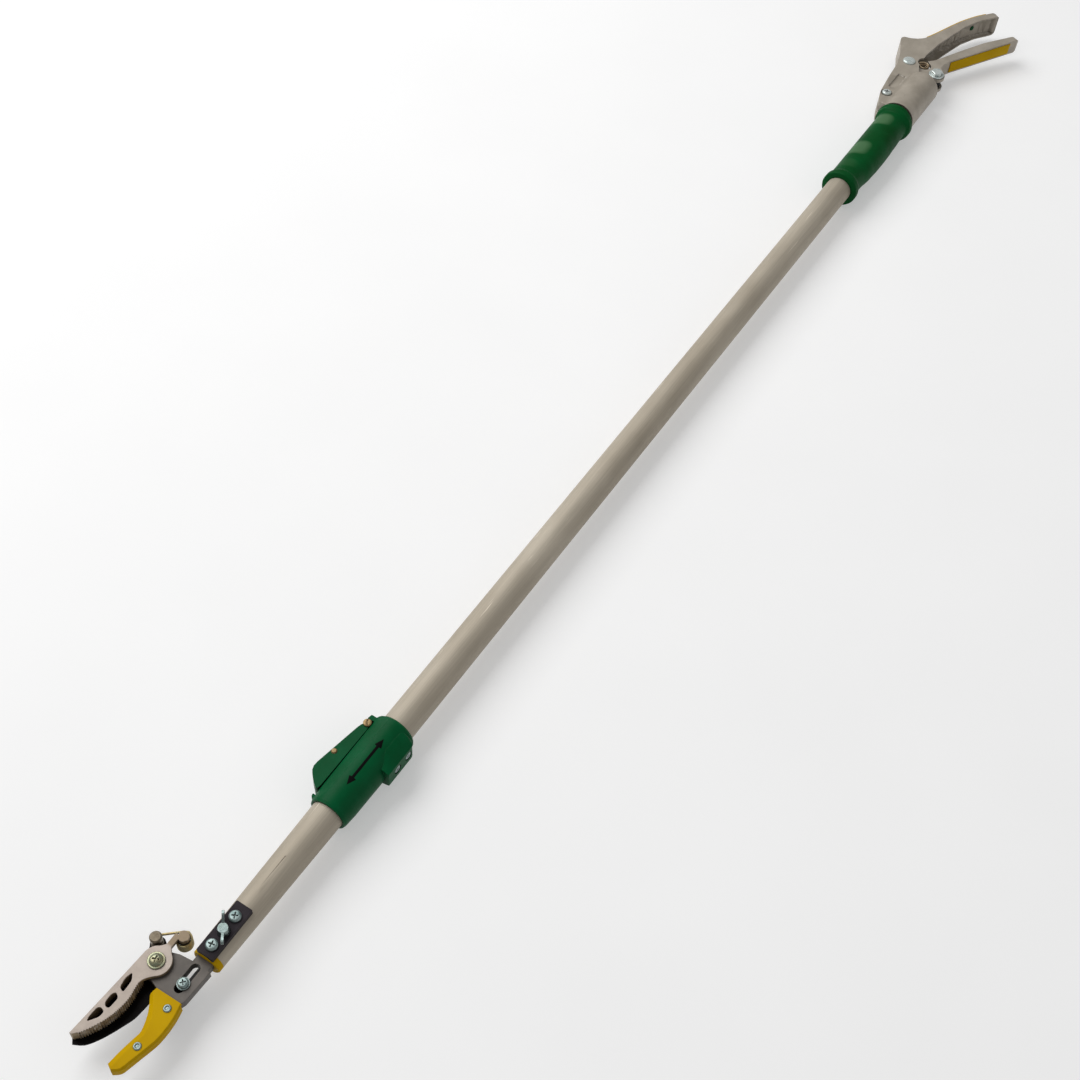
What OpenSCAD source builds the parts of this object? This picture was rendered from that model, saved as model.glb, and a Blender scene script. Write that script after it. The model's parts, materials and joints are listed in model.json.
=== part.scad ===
// Telescopic tree pruner pole: handle with squeeze lever, sliding tubes, bypass head with a hold plate.
// X runs along the pole toward the head, Y lies in the blade's plane, Z is square to the blade.
// The origin is on the pole's axis, at the middle of the bare outer tube. Millimetres and degrees.

/* [Pole] */
// Outside diameter of the outer tube
tube_d = 26; // [25:0.25:27]
// Wall of the outer, inner and head tubes
tube_wall = 1.2; // [1:0.1:1.4]
// Bare length of outer tube between the grip and the sleeve
bare_len = 774; // [740:2:900]
// Length of outer tube inside the sleeve
tube_in_sleeve = 60; // [54:1:62]
// Outside diameter of the inner tube
inner_d = 21.8; // [21.4:0.1:22.2]
// Length of the inner tube
inner_len = 847; // [800:1:860]

/* [Coupling sleeve] */
// Length of the sleeve
sleeve_len = 83; // [80:0.5:90]
// Radius of the sleeve
sleeve_r = 16.5; // [16:0.1:17.5]
// Distance of the lock lever's pivot from the sleeve's handle end
lock_from_end = 10; // [9:0.5:12]
// Distance of the lock lever's pivot from the pole's axis
lock_pivot_y = 18.2; // [18:0.1:19]
// Half thickness of the lock lever
lock_half = 8; // [7.6:0.1:9]
// Throw of the lock lever's cam
cam_throw = 0.8; // [0.6:0.05:1]

/* [Grip] */
// Length of the grip
grip_len = 145; // [130:1:160]
// Radius of the grip's body
grip_r = 16.4; // [15.5:0.1:17.5]
// Radius of the grip's flanges
grip_flange_r = 19; // [18:0.1:20.5]

/* [Handle] */
// Radius of the handle's socket
socket_r = 18.8; // [17.5:0.1:20]
// Length of the handle's socket
socket_len = 70; // [66:0.5:74]
// Half width of the handle casting
handle_half = 12; // [11.5:0.1:13]
// Thickness of the handle's walls
handle_wall = 2; // [1.6:0.1:2.4]
// Distance of the lever's rivet from the pole's axis
rivet_y = 26.5; // [26:0.1:27]
// Distance from the lever's rivet to the rod bolt
lever_arm = 33.6; // [33:0.1:34.2]
// Half width of the squeeze lever
lever_half = 8; // [7.6:0.1:8.4]
// Radius of the lever's rivet
rivet_r = 3; // [2.6:0.1:3.4]
// Radius of the rod bolt
bolt_r = 3; // [2.6:0.1:3.2]

/* [Rods] */
// Radius of the drive tube
drive_r = 6; // [5.5:0.1:6.3]
// Wall of the drive tube
drive_wall = 1.2; // [1:0.1:1.5]
// Radius of the pull rod
pull_r = 3; // [2.6:0.1:3.2]
// Thickness of the flat strap at the head
strap_t = 2.5; // [2:0.1:2.6]
// Width of the flat strap
strap_w = 8; // [7:0.1:8.4]

/* [Head] */
// Length of the tapered head tube
head_tube_len = 140; // [132:1:160]
// Radius of the head tube at the sleeve
head_r0 = 12.7; // [12.6:0.05:12.75]
// Radius of the head tube at its end
head_r1 = 10.9; // [10.8:0.05:11.2]
// Distance of the blade's pivot from the pole's axis
pivot_y = 25; // [24.6:0.1:25.4]
// Distance from the blade's pivot to its pin
pin_arm = 24; // [23.6:0.1:24.4]
// Thickness of the head casting
body_t = 6.8; // [6.4:0.1:7]
// Thickness of the blade
blade_t = 3; // [2.6:0.1:3.4]
// Thickness of the hold plate's face
hold_t = 3; // [2.4:0.1:3.6]
// Radius of the pivot bolt
pivot_r = 4; // [3.6:0.1:4.4]
// Radius of the blade pin
pin_r = 2.5; // [2.2:0.1:2.7]
// Wall of the hook's cover
cover_wall = 1.5; // [1.2:0.1:1.8]
// Depth of the hold plate's teeth
tooth = 0.9; // [0.6:0.1:1.1]
// Radius of the plate screws
screw_r = 2.4; // [2:0.1:2.6]

/* [Springs] */
// Wire of the hold spring
hold_wire = 1.8; // [1.6:0.1:1.9]
// Turns of the hold spring
hold_turns = 4; // [3:1:4]
// Wire of the lever's return spring
return_wire = 1.5; // [1.3:0.1:1.6]
// Turns of the lever's return spring
return_turns = 4; // [3:1:4]

/* [Hidden] */
$fn = 64;
// Clearance between pieces that sit tight, that run on each other, and that only pass each other
fit = 0.05;
run = 0.08;
free = 0.3;
// Overlap of a cut past the face it opens
cut = 1;

// Stations along the pole
x_sleeve = bare_len / 2;
x_sleeve_end = x_sleeve + sleeve_len;
x_tube_head = x_sleeve + tube_in_sleeve;
x_grip = -bare_len / 2;
x_grip_end = x_grip - grip_len;
x_socket_end = x_grip_end - socket_len;
x_tube_tail = x_socket_end + 2;
head_lap = 50;
x_head_tube = x_sleeve_end - 8;
x_head_end = x_head_tube + head_tube_len;
cap_lip = 4.5;
x_cap = x_head_end - cap_lip;
x_inner_head = x_head_tube + head_lap;
x_inner_tail = x_inner_head - inner_len;

// Radii of the tubes
tube_r = tube_d / 2;
tube_bore = tube_r - tube_wall;
inner_r = inner_d / 2;
inner_bore = inner_r - tube_wall;
head_bore = head_r1 - tube_wall - 0.1;

// Points that the head and the handle are drawn from
pivot = [x_head_end + 19, -pivot_y];
rivet = [x_grip_end - 90, -rivet_y];
pin_lean = 4;
pin_at = pivot + pin_arm * [sin(pin_lean), cos(pin_lean)];
bolt_at = rivet + [0, lever_arm];
lock_at = [x_sleeve + lock_from_end, -lock_pivot_y];

// Travel of the lever, the blade and the rods
squeeze = 15.8;
blade_turn = squeeze * lever_arm / pin_arm;
rod_travel = lever_arm * squeeze * PI / 180;

// Heights in the head, from the back to the front
body_z0 = -1.8;
body_z1 = body_z0 + body_t;
blade_z1 = body_z0 - free;
blade_z0 = blade_z1 - blade_t;
strap_z1 = blade_z0 - free;
strap_z0 = strap_z1 - strap_t;
hold_z0 = body_z1 + free;
hold_z1 = hold_z0 + hold_t;

// Helpers for curves
function turned(p, a) = [p[0] * cos(a) - p[1] * sin(a), p[0] * sin(a) + p[1] * cos(a)];
function moved(pts, d) = [for (p = pts) p + d];
function back(pts) = [for (i = [len(pts) - 1 : -1 : 0]) pts[i]];
function unit(v) = v / norm(v);
function arc(c, r, a0, a1, n) = [for (i = [0 : n]) let (a = a0 + (a1 - a0) * i / n)
    c + r * [cos(a), sin(a)]];
function blend(a, b, c, d, t) =
    0.5 * (2 * b + (c - a) * t + (2 * a - 5 * b + 4 * c - d) * t * t + (3 * b - a - 3 * c + d) * t * t * t);
// Smooth curve through the points p, with n steps to a span
function curve(p, n) = concat(
    [for (i = [0 : len(p) - 2], k = [0 : n - 1])
        blend(p[max(i - 1, 0)], p[i], p[i + 1], p[min(i + 2, len(p) - 1)], k / n)],
    [p[len(p) - 1]]);
// An open line moved sideways by d, to the left of its own direction
function side_of(p, i) = let (t = unit(p[min(i + 1, len(p) - 1)] - p[max(i - 1, 0)])) [-t[1], t[0]];
function beside(p, d) = [for (i = [0 : len(p) - 1]) p[i] + d * side_of(p, i)];
// A closed outline with each corner rounded off over a length of up to r
function reach(a, p, r) = min(r, norm(a - p) / 2.1) * unit(a - p);
function corner(a, p, b, r, n) = let (u = reach(a, p, r), v = reach(b, p, r))
    [for (k = [0 : n]) let (s = k / n) p + (1 - s) * (1 - s) * u + s * s * v];
function rounded(p, r, n = 3) = [for (i = [0 : len(p) - 1])
    each corner(p[(i + len(p) - 1) % len(p)], p[i], p[(i + 1) % len(p)], r, n)];

// An open line with its inner corners rounded off
function softened(p, r, n = 3) = concat([p[0]],
    [for (i = [1 : len(p) - 2]) each corner(p[i - 1], p[i], p[i + 1], r, n)], [p[len(p) - 1]]);

// Helpers for solids
module bar_x(r, x0, x1) { translate([x0, 0, 0]) rotate([0, 90, 0]) cylinder(r = r, h = x1 - x0); }
module cone_x(r0, r1, x0, x1) {
    translate([x0, 0, 0]) rotate([0, 90, 0]) cylinder(r1 = r0, r2 = r1, h = x1 - x0);
}
module bar_z(p, r, z0, z1) { translate([p[0], p[1], z0]) cylinder(r = r, h = z1 - z0); }
module bar_y(x, z, r, y0, y1) { translate([x, y0, z]) rotate([-90, 0, 0]) cylinder(r = r, h = y1 - y0); }
module plate(pts, z0, z1) { translate([0, 0, z0]) linear_extrude(height = z1 - z0) polygon(pts); }
module box(lo, hi) { translate(lo) cube(hi - lo); }
// Solid of revolution about X, from [x, radius] points
module spun_x(pts) { rotate([0, 90, 0]) rotate_extrude() polygon([for (p = pts) [p[1], p[0]]]); }
// Solid of revolution about a line along Z, from [radius, z] points
module spun_z(p, pts) { translate([p[0], p[1], 0]) rotate_extrude() polygon(pts); }
// Solid between an outline at one height and an outline of as many points at another.
// Its ends are strips that join the outline's first half to its second half.
module loft(a, za, b, zb) {
    n = len(a);
    strip = [for (i = [0 : n / 2 - 2]) each [[i, i + 1, n - 1 - i], [i + 1, n - 2 - i, n - 1 - i]]];
    polyhedron(points = concat([for (p = a) [p[0], p[1], za]], [for (p = b) [p[0], p[1], zb]]),
        faces = concat(strip, [for (t = strip) [n + t[2], n + t[1], n + t[0]]],
            [for (i = [0 : n - 1]) [i, n + i, n + (i + 1) % n]],
            [for (i = [0 : n - 1]) [i, n + (i + 1) % n, (i + 1) % n]]));
}
// Round wire of six sides along a path that never runs straight up
module wire(path, r) {
    sides = 6;
    n = len(path);
    rings = [for (i = [0 : n - 1]) let (t = unit(path[min(i + 1, n - 1)] - path[max(i - 1, 0)]),
        u = unit(cross(t, [0, 0, 1])), v = cross(u, t)) for (k = [0 : sides - 1])
        path[i] + r * (cos(60 * k) * u + sin(60 * k) * v)];
    polyhedron(points = rings, faces = concat([[for (k = [0 : sides - 1]) k]],
        [[for (k = [0 : sides - 1]) n * sides - 1 - k]],
        [for (i = [0 : n - 2], k = [0 : sides - 1]) let (m = (k + 1) % sides)
            [i * sides + k, (i + 1) * sides + k, (i + 1) * sides + m]],
        [for (i = [0 : n - 2], k = [0 : sides - 1]) let (m = (k + 1) % sides)
            [i * sides + k, (i + 1) * sides + m, i * sides + m]]));
}
// Coil about a line along Z, eight points to a turn, from angle a0 and height z0
function coil(c, r, a0, turns, z0, pitch) = [for (i = [0 : turns * 8]) let (a = a0 + 45 * i)
    [c[0] + r * cos(a), c[1] + r * sin(a), z0 + pitch * i / 8]];
// Radius of a core that passes inside the coil's straight steps
function core(r, wire) = r * cos(180 / 8) - wire / 2 - free / 2;
// Least distance between parts of a wire that are more than half a turn apart
function self_gap(path, r) = min([for (i = [0 : len(path) - 6], j = [i + 5 : len(path) - 1])
    norm(path[i] - path[j])]) - 2 * r;

// Outer tube, turned down where the grip, the handle and the sleeve sit on it, with the lock pad's window
pad_half = 3;
pad_len = 11.6;
module outer_tube() {
    color("darkgray") difference() {
        union() {
            bar_x(tube_r, x_grip, x_sleeve);
            bar_x(tube_r - fit, x_tube_tail, x_tube_head);
        }
        bar_x(tube_bore, x_tube_tail - cut, x_tube_head + cut);
        pad_window(tube_bore - cut, lock_pivot_y);
    }
}
module pad_window(y0, y1) {
    half = pad_len / 2 + free / 2;
    box([lock_at[0] - half, -y1, -pad_half - free / 2], [lock_at[0] + half, -y0, pad_half + free / 2]);
}

// Grip, thicker on the lever's side
grip_swell = 2.4;
module grip() {
    flange = 6;
    land = 0.7;
    x0 = x_grip;
    x1 = x_grip_end;
    step = (grip_len - 40) / 6;
    lands = [for (i = [0 : 5]) each let (x = x0 - 20 - step * i, r = grip_r + (i % 2) * land)
        [[x - 2, r], [x - step + 2, r]]];
    color("darkgreen") difference() {
        union() {
            spun_x(concat([[x0, 0], [x0, grip_flange_r - 1.5], [x0 - 1.5, grip_flange_r],
                [x0 - flange, grip_flange_r], [x0 - flange - 6, grip_r + 0.3]], lands,
                [[x1 + 14, grip_r + 0.3], [x1 + 11, grip_flange_r + 0.6], [x1 + 6, grip_flange_r + 0.6],
                [x1 + 3.5, grip_r + 1], [x1, grip_r + 1], [x1, 0]]));
            translate([0, grip_swell, 0]) spun_x(concat([[x0 - 14, 0]],
                curve([[x0 - 14, grip_r - 4], [x0 - grip_len * 0.3, grip_r + 0.1],
                [x0 - grip_len * 0.5, grip_r + 0.9], [x0 - grip_len * 0.7, grip_r + 0.1],
                [x1 + 16, grip_r - 1]], 4), [[x1 + 11, grip_flange_r], [x1 + 6, grip_flange_r],
                [x1 + 3.5, grip_r - 2], [x1 + 3.5, 0]]));
        }
        bar_x(tube_r, x1 - cut, x0 + cut);
    }
}

// Handle casting: outlines are drawn from the lever's rivet
fixed_edge = curve(moved([[-46, -10], [-52, -4], [-62, 1], [-83, 8.5], [-108, 17.5], [-130, 28.5],
    [-148.5, 41.6]], rivet), 4);
spine = 3;
handle_back = moved([[88, 3], [72, -3], [38, -7], [13, -9], [-7, -14], [-36, -26], [-41, -24],
    [-42, -17]], rivet);
handle_front = moved([[-152, 46], [-151, 49], [-146.5, 49.6], [-138, 44.5], [-124, 35], [-103, 26],
    [-80, 20.5], [-50, 14], [-22, 11], [0, 12], [14, 18]], rivet);
module handle_outline() {
    socket_side = [[x_socket_end, 0], [x_grip_end - 1, 0]];
    polygon(concat(softened(concat(handle_back, [fixed_edge[0]]), 5),
        softened(concat(fixed_edge, handle_front), 4), socket_side));
}
module handle_cavity() {
    inner = beside(fixed_edge, -spine);
    mouth = moved([[-147.5, 46], [-145, 70], [17, 70], [17, -4.5]], rivet);
    root = moved([[8, -6.5], [-8, -10.5], [-33, -20.5], [-37.5, -16]], rivet);
    polygon(concat(root, inner, mouth));
}
clamp_at = [x_grip_end - 21, -23];
module handle_body() {
    inside = handle_half - handle_wall;
    slit = 1.6;
    recess = 1.6;
    color("silver") difference() {
        union() {
            translate([0, 0, -handle_half]) linear_extrude(height = 2 * handle_half) handle_outline();
            bar_x(socket_r, x_socket_end, x_grip_end - 1);
        }
        bar_x(tube_r, x_socket_end - 8, x_grip_end + cut);
        translate([0, 0, -inside]) linear_extrude(height = 2 * inside) handle_cavity();
        bar_z(rivet, lever_hub + 2 * free, -inside, inside);
        bar_z(rivet, rivet_r + fit, -handle_half - cut, handle_half + cut);
        box([x_socket_end + 16, -45, -slit / 2], [x_grip_end + cut, 0, slit / 2]);
        bar_z(clamp_at, clamp_r + fit, -handle_half - cut, handle_half + cut);
        plate(rounded([[x_socket_end + 37, -26.8], [x_socket_end + 9, -26.8], [x_socket_end + 9, -17.9],
            [x_socket_end + 37, -17.9]], 1), handle_half - recess, handle_half + cut);
        bar_z(clamp_at, clamp_head + 1.2, clamp_z, handle_half + cut);
        fixed_inlay(fit);
        stud_bar(stud_r + fit, -spine - cut, cut);
    }
}
// Yellow inlay along the fixed handle's outer edge
inlay_half = handle_half - free;
inlay_sink = 0.8;
inlay_proud = 1.3;
module fixed_inlay(gap) {
    run_of = [for (i = [6 : len(fixed_edge) - 3]) fixed_edge[i]];
    plate(concat(beside(run_of, -inlay_sink - gap), back(beside(run_of, inlay_proud))),
        -inlay_half - gap, inlay_half + gap);
}
module fixed_insert() { color("gold") fixed_inlay(0); }

// Stud in the spine near the tip, square to it
stud_r = 2.6;
stud_spot = 19;
module stud_bar(r, lo, hi) {
    at = beside(fixed_edge, -spine)[stud_spot];
    way = -side_of(fixed_edge, stud_spot);
    translate([at[0], at[1], 0]) rotate([0, 0, atan2(way[1], way[0])]) rotate([0, 90, 0])
        translate([0, 0, lo]) cylinder(r = r, h = hi - lo);
}
module tip_stud() { color("green") stud_bar(stud_r, -spine + inlay_sink + free, 0.5); }

// Screw that draws the slit together, with its nut behind
clamp_r = 2.5;
clamp_head = 5;
clamp_z = handle_half - 1;
module clamp_screw() {
    nut_t = 4;
    color("lightgray") {
        bar_z(clamp_at, clamp_r, -handle_half - nut_t, clamp_z);
        spun_z(clamp_at, [[0, clamp_z], [clamp_head, clamp_z], [clamp_head, clamp_z + 1.6],
            [clamp_head - 1.4, clamp_z + 2.8], [0, clamp_z + 2.8]]);
        translate([clamp_at[0], clamp_at[1], -handle_half - nut_t]) cylinder(r = 4.8, h = nut_t, $fn = 6);
    }
}

// Rivet with a domed head at each side of the handle
module lever_rivet() {
    head = 7;
    dome = 2.6;
    top = handle_half + dome;
    side = [[0, handle_half], [head, handle_half], [head - 0.8, top - 0.4 * dome], [head - dome, top],
        [0, top]];
    color("lightgray") {
        bar_z(rivet, rivet_r, -handle_half, handle_half);
        spun_z(rivet, side);
        mirror([0, 0, 1]) spun_z(rivet, side);
    }
}

// Squeeze lever: side plates joined by a web along the outer edge
lever_open = 1.5;
lever_hub = 9;
lever_eye = 9.5;
lever_web = 2.6;
lever_cheek = 3.4;
lever_slack = 1.3;
lever_proud = 0.8;
function on_lever(pts) = [for (p = pts) rivet + turned(p, -lever_open)];
lever_a = [-34, 35.2];
lever_b = [-119, 78.4];
lever_edge = on_lever([[-24, 32.5], lever_a, lever_b]);
spring_at = on_lever([[-9, 15.5]])[0];
spring_room = 7.5;
spring_mouth = 229;
module lever_outline() {
    lip = on_lever(curve([lever_b, [-122.5, 80], [-126.5, 80.2], [-128.3, 77.8], [-127, 74.6],
        [-123.5, 71.6]], 3));
    inside_edge = on_lever([[-93, 52], [-65, 38.5], [-46, 30], [-26, 21], [-12, 9]]);
    polygon(concat([lever_edge[0], lever_edge[1]], lip, inside_edge, arc(rivet, lever_hub, 130, 360, 10),
        arc(bolt_at, lever_eye, 0, 150, 8), [rivet + [-16, 33]]));
}
module squeeze_lever() {
    gap = lever_half - lever_cheek;
    web = on_lever([[-14, 29.5], [-24, 32.5 - lever_web], lever_a - [0, lever_web],
        lever_b - [-4, 2 * lever_web], [-121, 73], [-128, 60], [-90, 44], [-45, 22], [-20, 6]]);
    color("silver") difference() {
        union() {
            difference() {
                translate([0, 0, -lever_half]) linear_extrude(height = 2 * lever_half) lever_outline();
                plate(concat([rivet + [20, 10], rivet + [20, 52], rivet + [-10, 52]], web), -gap, gap);
                translate([spring_at[0], spring_at[1], -gap]) rotate(spring_mouth) {
                    cylinder(r = spring_room, h = 2 * lever_half);
                    translate([0, -spring_room]) cube([2 * spring_room, 2 * spring_room, 2 * lever_half]);
                }
            }
            bar_z(rivet, lever_hub - 1, -lever_half, lever_half);
            bar_z(spring_at, core(return_r, return_wire), -lever_half, gap);
        }
        bar_z(rivet, rivet_r + fit, -lever_half - cut, lever_half + cut);
        for (d = [0, lever_slack])
            bar_z(bolt_at + [0, d], bolt_r + free, -lever_half - cut, lever_half + cut);
        box([bolt_at[0] - bolt_r - free, bolt_at[1], -lever_half - cut],
            [bolt_at[0] + bolt_r + free, bolt_at[1] + lever_slack, lever_half + cut]);
        lever_inlay(fit);
    }
}
module lever_inlay(gap) {
    a = lever_edge[1];
    b = lever_edge[2];
    n = unit([a[1] - b[1], b[0] - a[0]]);
    half = 6.2;
    s = a + 2 * unit(b - a);
    sunk = (inlay_sink + gap) * n;
    plate([s + sunk, b + sunk, b - lever_proud * n, s - lever_proud * n], -half - gap, half + gap);
}
module lever_insert() { color("gold") lever_inlay(0); }

// Return spring beside the rivet
return_r = 4.3;
return_pitch = return_wire + 0.55;
return_z0 = -lever_half + lever_cheek + return_wire / 2 + 0.2;
return_coil = coil(spring_at, return_r, 200, return_turns, return_z0, return_pitch);
return_path = concat([return_coil[0] + [-3, 7.5, 0], return_coil[0] + [-1.4, 3.8, 0]], return_coil,
    [return_coil[len(return_coil) - 1] + [1.6, -3, 0], return_coil[len(return_coil) - 1] + [4, -5.5, 0]]);
echo(return_spring_least_gap = self_gap(return_path, return_wire / 2));
module return_spring() { color("gray") wire(return_path, return_wire / 2); }

// Drive tube from the handle to the collet
x_drive_tail = rivet[0] + 18;
x_drive_head = x_sleeve - 42;
drive_bore = drive_r - drive_wall;
module drive_tube() {
    color("lightgray") difference() {
        bar_x(drive_r, x_drive_tail, x_drive_head);
        bar_x(drive_bore, x_drive_tail - cut, x_drive_head + cut);
    }
}
// Clevis: socket on the drive tube and a flat eye for the rod bolt
clevis_half = lever_half - lever_cheek - free;
module rod_clevis() {
    socket = drive_r + 2;
    eye = 7;
    deep = 16;
    color("dimgray") difference() {
        union() {
            bar_x(socket, x_drive_tail - 1, x_drive_tail + deep);
            bar_z(bolt_at, eye, -clevis_half, clevis_half);
            plate([bolt_at + [-2, -eye + 0.4], [x_drive_tail, -socket + 0.5], [x_drive_tail, socket - 0.5],
                bolt_at + [2, eye - 0.4]], -clevis_half, clevis_half);
        }
        bar_x(drive_r + fit, x_drive_tail, x_drive_tail + deep + cut);
        bar_z(bolt_at, bolt_r + fit, -clevis_half - cut, clevis_half + cut);
    }
}
// Hexagon bolt with a washer, and its nut behind
bolt_face = lever_half + free;
bolt_nut_t = 4;
module rod_bolt() {
    washer_r = 8.4;
    washer_t = 1.2;
    hex_r = 6.2;
    color("lightgray") {
        bar_z(bolt_at, bolt_r, -bolt_face - bolt_nut_t - 0.5, bolt_face);
        bar_z(bolt_at, washer_r, bolt_face, bolt_face + washer_t);
        translate([bolt_at[0], bolt_at[1], bolt_face + washer_t]) rotate(10)
            cylinder(r = hex_r, h = 3.6, $fn = 6);
    }
}
module rod_nut() {
    low = -bolt_face - bolt_nut_t;
    color("lightgray") difference() {
        translate([bolt_at[0], bolt_at[1], low]) rotate(20) cylinder(r = 5.6, h = bolt_nut_t, $fn = 6);
        bar_z(bolt_at, bolt_r + fit, low - cut, -bolt_face + cut);
    }
}
// Collet on the drive tube's end that grips the pull rod
module rod_collet() {
    len = 20;
    plug = 12;
    color("goldenrod") difference() {
        union() {
            bar_x(drive_bore - fit, x_drive_head - plug, x_drive_head);
            spun_x([[x_drive_head, 0], [x_drive_head, drive_r + 2], [x_drive_head + len - 4, drive_r + 2],
                [x_drive_head + len, drive_r], [x_drive_head + len, 0]]);
        }
        bar_x(pull_r + run, x_drive_head - plug - cut, x_drive_head + len + cut);
    }
}
// Disc in the outer tube that keeps the drive tube in line
disc_len = 10;
disc_gap = 52;
module rod_guide_disc() {
    x = x_inner_tail - bush_lip - disc_gap;
    color("ivory") difference() {
        bar_x(tube_bore - fit, x - disc_len, x);
        bar_x(drive_r + run, x - disc_len - cut, x + cut);
    }
}

// Coupling sleeve with its screw pad, lever flat, ears and catch
sleeve_flat = 14.8;
ear_half = [3.2, 5.2];
ear_r = 3.1;
lock_pin_r = 1.6;
screw_pad_y = 20.3;
pad_x = [x_sleeve + 3.3, x_sleeve + 36.7];
sleeve_screw_x = [x_sleeve + 12, x_sleeve + 25.4];
sleeve_screw_r = 1.6;
sleeve_screw_head = [3.6, 2.2];
screw_seat = screw_pad_y - sleeve_screw_head[1] - 0.2;
facet_turn = 127.6;
facet_y = 15.5;
module coupling_sleeve() {
    x0 = x_sleeve;
    x1 = x_sleeve_end;
    heel_x = lock_at[0] - ear_r - 2 * free;
    color("green") difference() {
        union() {
            difference() {
                spun_x([[x0, 0], [x0, sleeve_r - 0.6], [x0 + 1.5, sleeve_r + 0.4],
                    [x0 + sleeve_len / 2, sleeve_r], [x1 - 12, sleeve_r - 0.4],
                    [x1 - 2, sleeve_r - 1.1], [x1, sleeve_r - 1.8], [x1, 0]]);
                box([x0 + 3, -2 * sleeve_r, -sleeve_r], [x1 - 6, -sleeve_flat, sleeve_r]);
                rotate([facet_turn, 0, 0])
                    box([x0 - cut, facet_y, -sleeve_r], [x1 + cut, 2 * sleeve_r, sleeve_r]);
            }
            for (s = [-1, 1]) lock_ear(s);
            for (s = [0, 1]) mirror([0, 0, s]) plate([[x0 + 2.4, -tube_r], [x0 + 2.4, lock_at[1] - 1.6],
                [heel_x, lock_at[1] - 2.4], [heel_x, -tube_r]], lock_half - lock_cheek, lock_half);
            plate(concat([[pad_x[0], 0]], arc([pad_x[0] + 6, screw_pad_y - 6], 6, 180, 90, 6),
                [[pad_x[1], screw_pad_y], [pad_x[1], 0]]), -7.5, 7.5);
            plate(rounded([[x1 - 6 + free, -12], [x1 - 6 + free, -sleeve_flat - 2.4],
                [x1 - 3, -sleeve_flat - 1.6], [x1 - 0.5, -12]], 1), -5, 5);
        }
        bar_x(tube_r, x0 - cut, x1 + cut);
        pad_window(tube_bore, lock_pivot_y);
        bar_z(lock_at, lock_pin_r + fit, -lock_half, lock_half);
        box([lock_at[0] - 6.2, lock_at[1] - 6.2, -ear_half[0]], [lock_at[0] + 6.2, -tube_r, ear_half[0]]);
        for (x = sleeve_screw_x) {
            bar_y(x, 0, sleeve_screw_r + fit, tube_r - cut, screw_pad_y);
            bar_y(x, 0, sleeve_screw_head[0] + free, screw_seat, screw_pad_y + cut);
        }
    }
}
module lock_ear(s) {
    z0 = s > 0 ? ear_half[0] : -ear_half[1];
    z1 = s > 0 ? ear_half[1] : -ear_half[0];
    bar_z(lock_at, ear_r, z0, z1);
    box([lock_at[0] - ear_r, lock_at[1], z0], [lock_at[0] + ear_r, -tube_r - 0.6, z1]);
}
module sleeve_screws() {
    color("lightgray") for (x = sleeve_screw_x) {
        bar_y(x, 0, sleeve_screw_r, tube_r, screw_seat);
        translate([x, screw_seat, 0]) rotate([-90, 0, 0]) rotate_extrude()
            polygon([[0, 0], [sleeve_screw_head[0], 0], [sleeve_screw_head[0], sleeve_screw_head[1] - 1],
                [sleeve_screw_head[0] - 1, sleeve_screw_head[1]], [0, sleeve_screw_head[1]]]);
    }
}
module lock_pin() {
    head = 3.3;
    color("goldenrod") {
        bar_z(lock_at, lock_pin_r, -lock_half - free, lock_half + free);
        for (s = [0, 1]) mirror([0, 0, s]) spun_z(lock_at, [[0, lock_half + free], [head, lock_half + free],
            [head - 0.6, lock_half + free + 1], [0, lock_half + free + 1]]);
    }
}

// Lock lever: a wedge-shaped channel with a cam that presses the pad
lock_cheek = 2.4;
cam_r = 4.3;
lock_web = 2;
lock_inner_y = -sleeve_flat - 0.4;
lock_corner = [x_sleeve + 62.5, -30];
lock_end = [x_sleeve_end - 7, lock_inner_y];
lock_root = lock_at + [1, -ear_r];
stud_point = [x_sleeve + 42.5, -24.2];
module lock_lever() {
    ear_gap = lock_half - lock_cheek;
    edge = rounded([lock_root, lock_corner, lock_end, [lock_at[0], lock_inner_y]], 6);
    inner = [lock_at + [8, -1.6 - ear_r + lock_web], lock_corner + [-1.5, lock_web + 1.2],
        lock_end + [-lock_web - 2, 0], lock_end + [-lock_web - 2, 5], [lock_at[0] + 5, lock_inner_y + 5]];
    color("green") difference() {
        union() {
            difference() {
                plate(edge, -lock_half, lock_half);
                plate(concat([lock_at + [-9, -9], lock_at + [6.5, -9]], inner, [lock_at + [-9, 9]]),
                    -ear_gap, ear_gap);
            }
            for (s = [0, 1]) mirror([0, 0, s]) bar_z(lock_at, ear_r, ear_gap, lock_half);
            bar_z(lock_at + [0, cam_throw], cam_r, -pad_half, pad_half);
            plate([lock_at + [0, -3], lock_at + [12, -3.4], lock_at + [12, -0.5], lock_at + [0, 1]],
                -pad_half, pad_half);
        }
        bar_z(lock_at, lock_pin_r + fit, -lock_half - cut, lock_half + cut);
        bar_z(stud_point, stud_shank + fit, -lock_half - cut, lock_half + cut);
    }
}
stud_shank = 1.5;
module lever_stud() {
    head = 2.4;
    color("lightgray") {
        bar_z(stud_point, stud_shank, -lock_half, lock_half);
        for (s = [0, 1]) mirror([0, 0, s]) spun_z(stud_point, [[0, lock_half], [head, lock_half],
            [head - 0.8, lock_half + 0.9], [0, lock_half + 0.9]]);
    }
}
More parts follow.
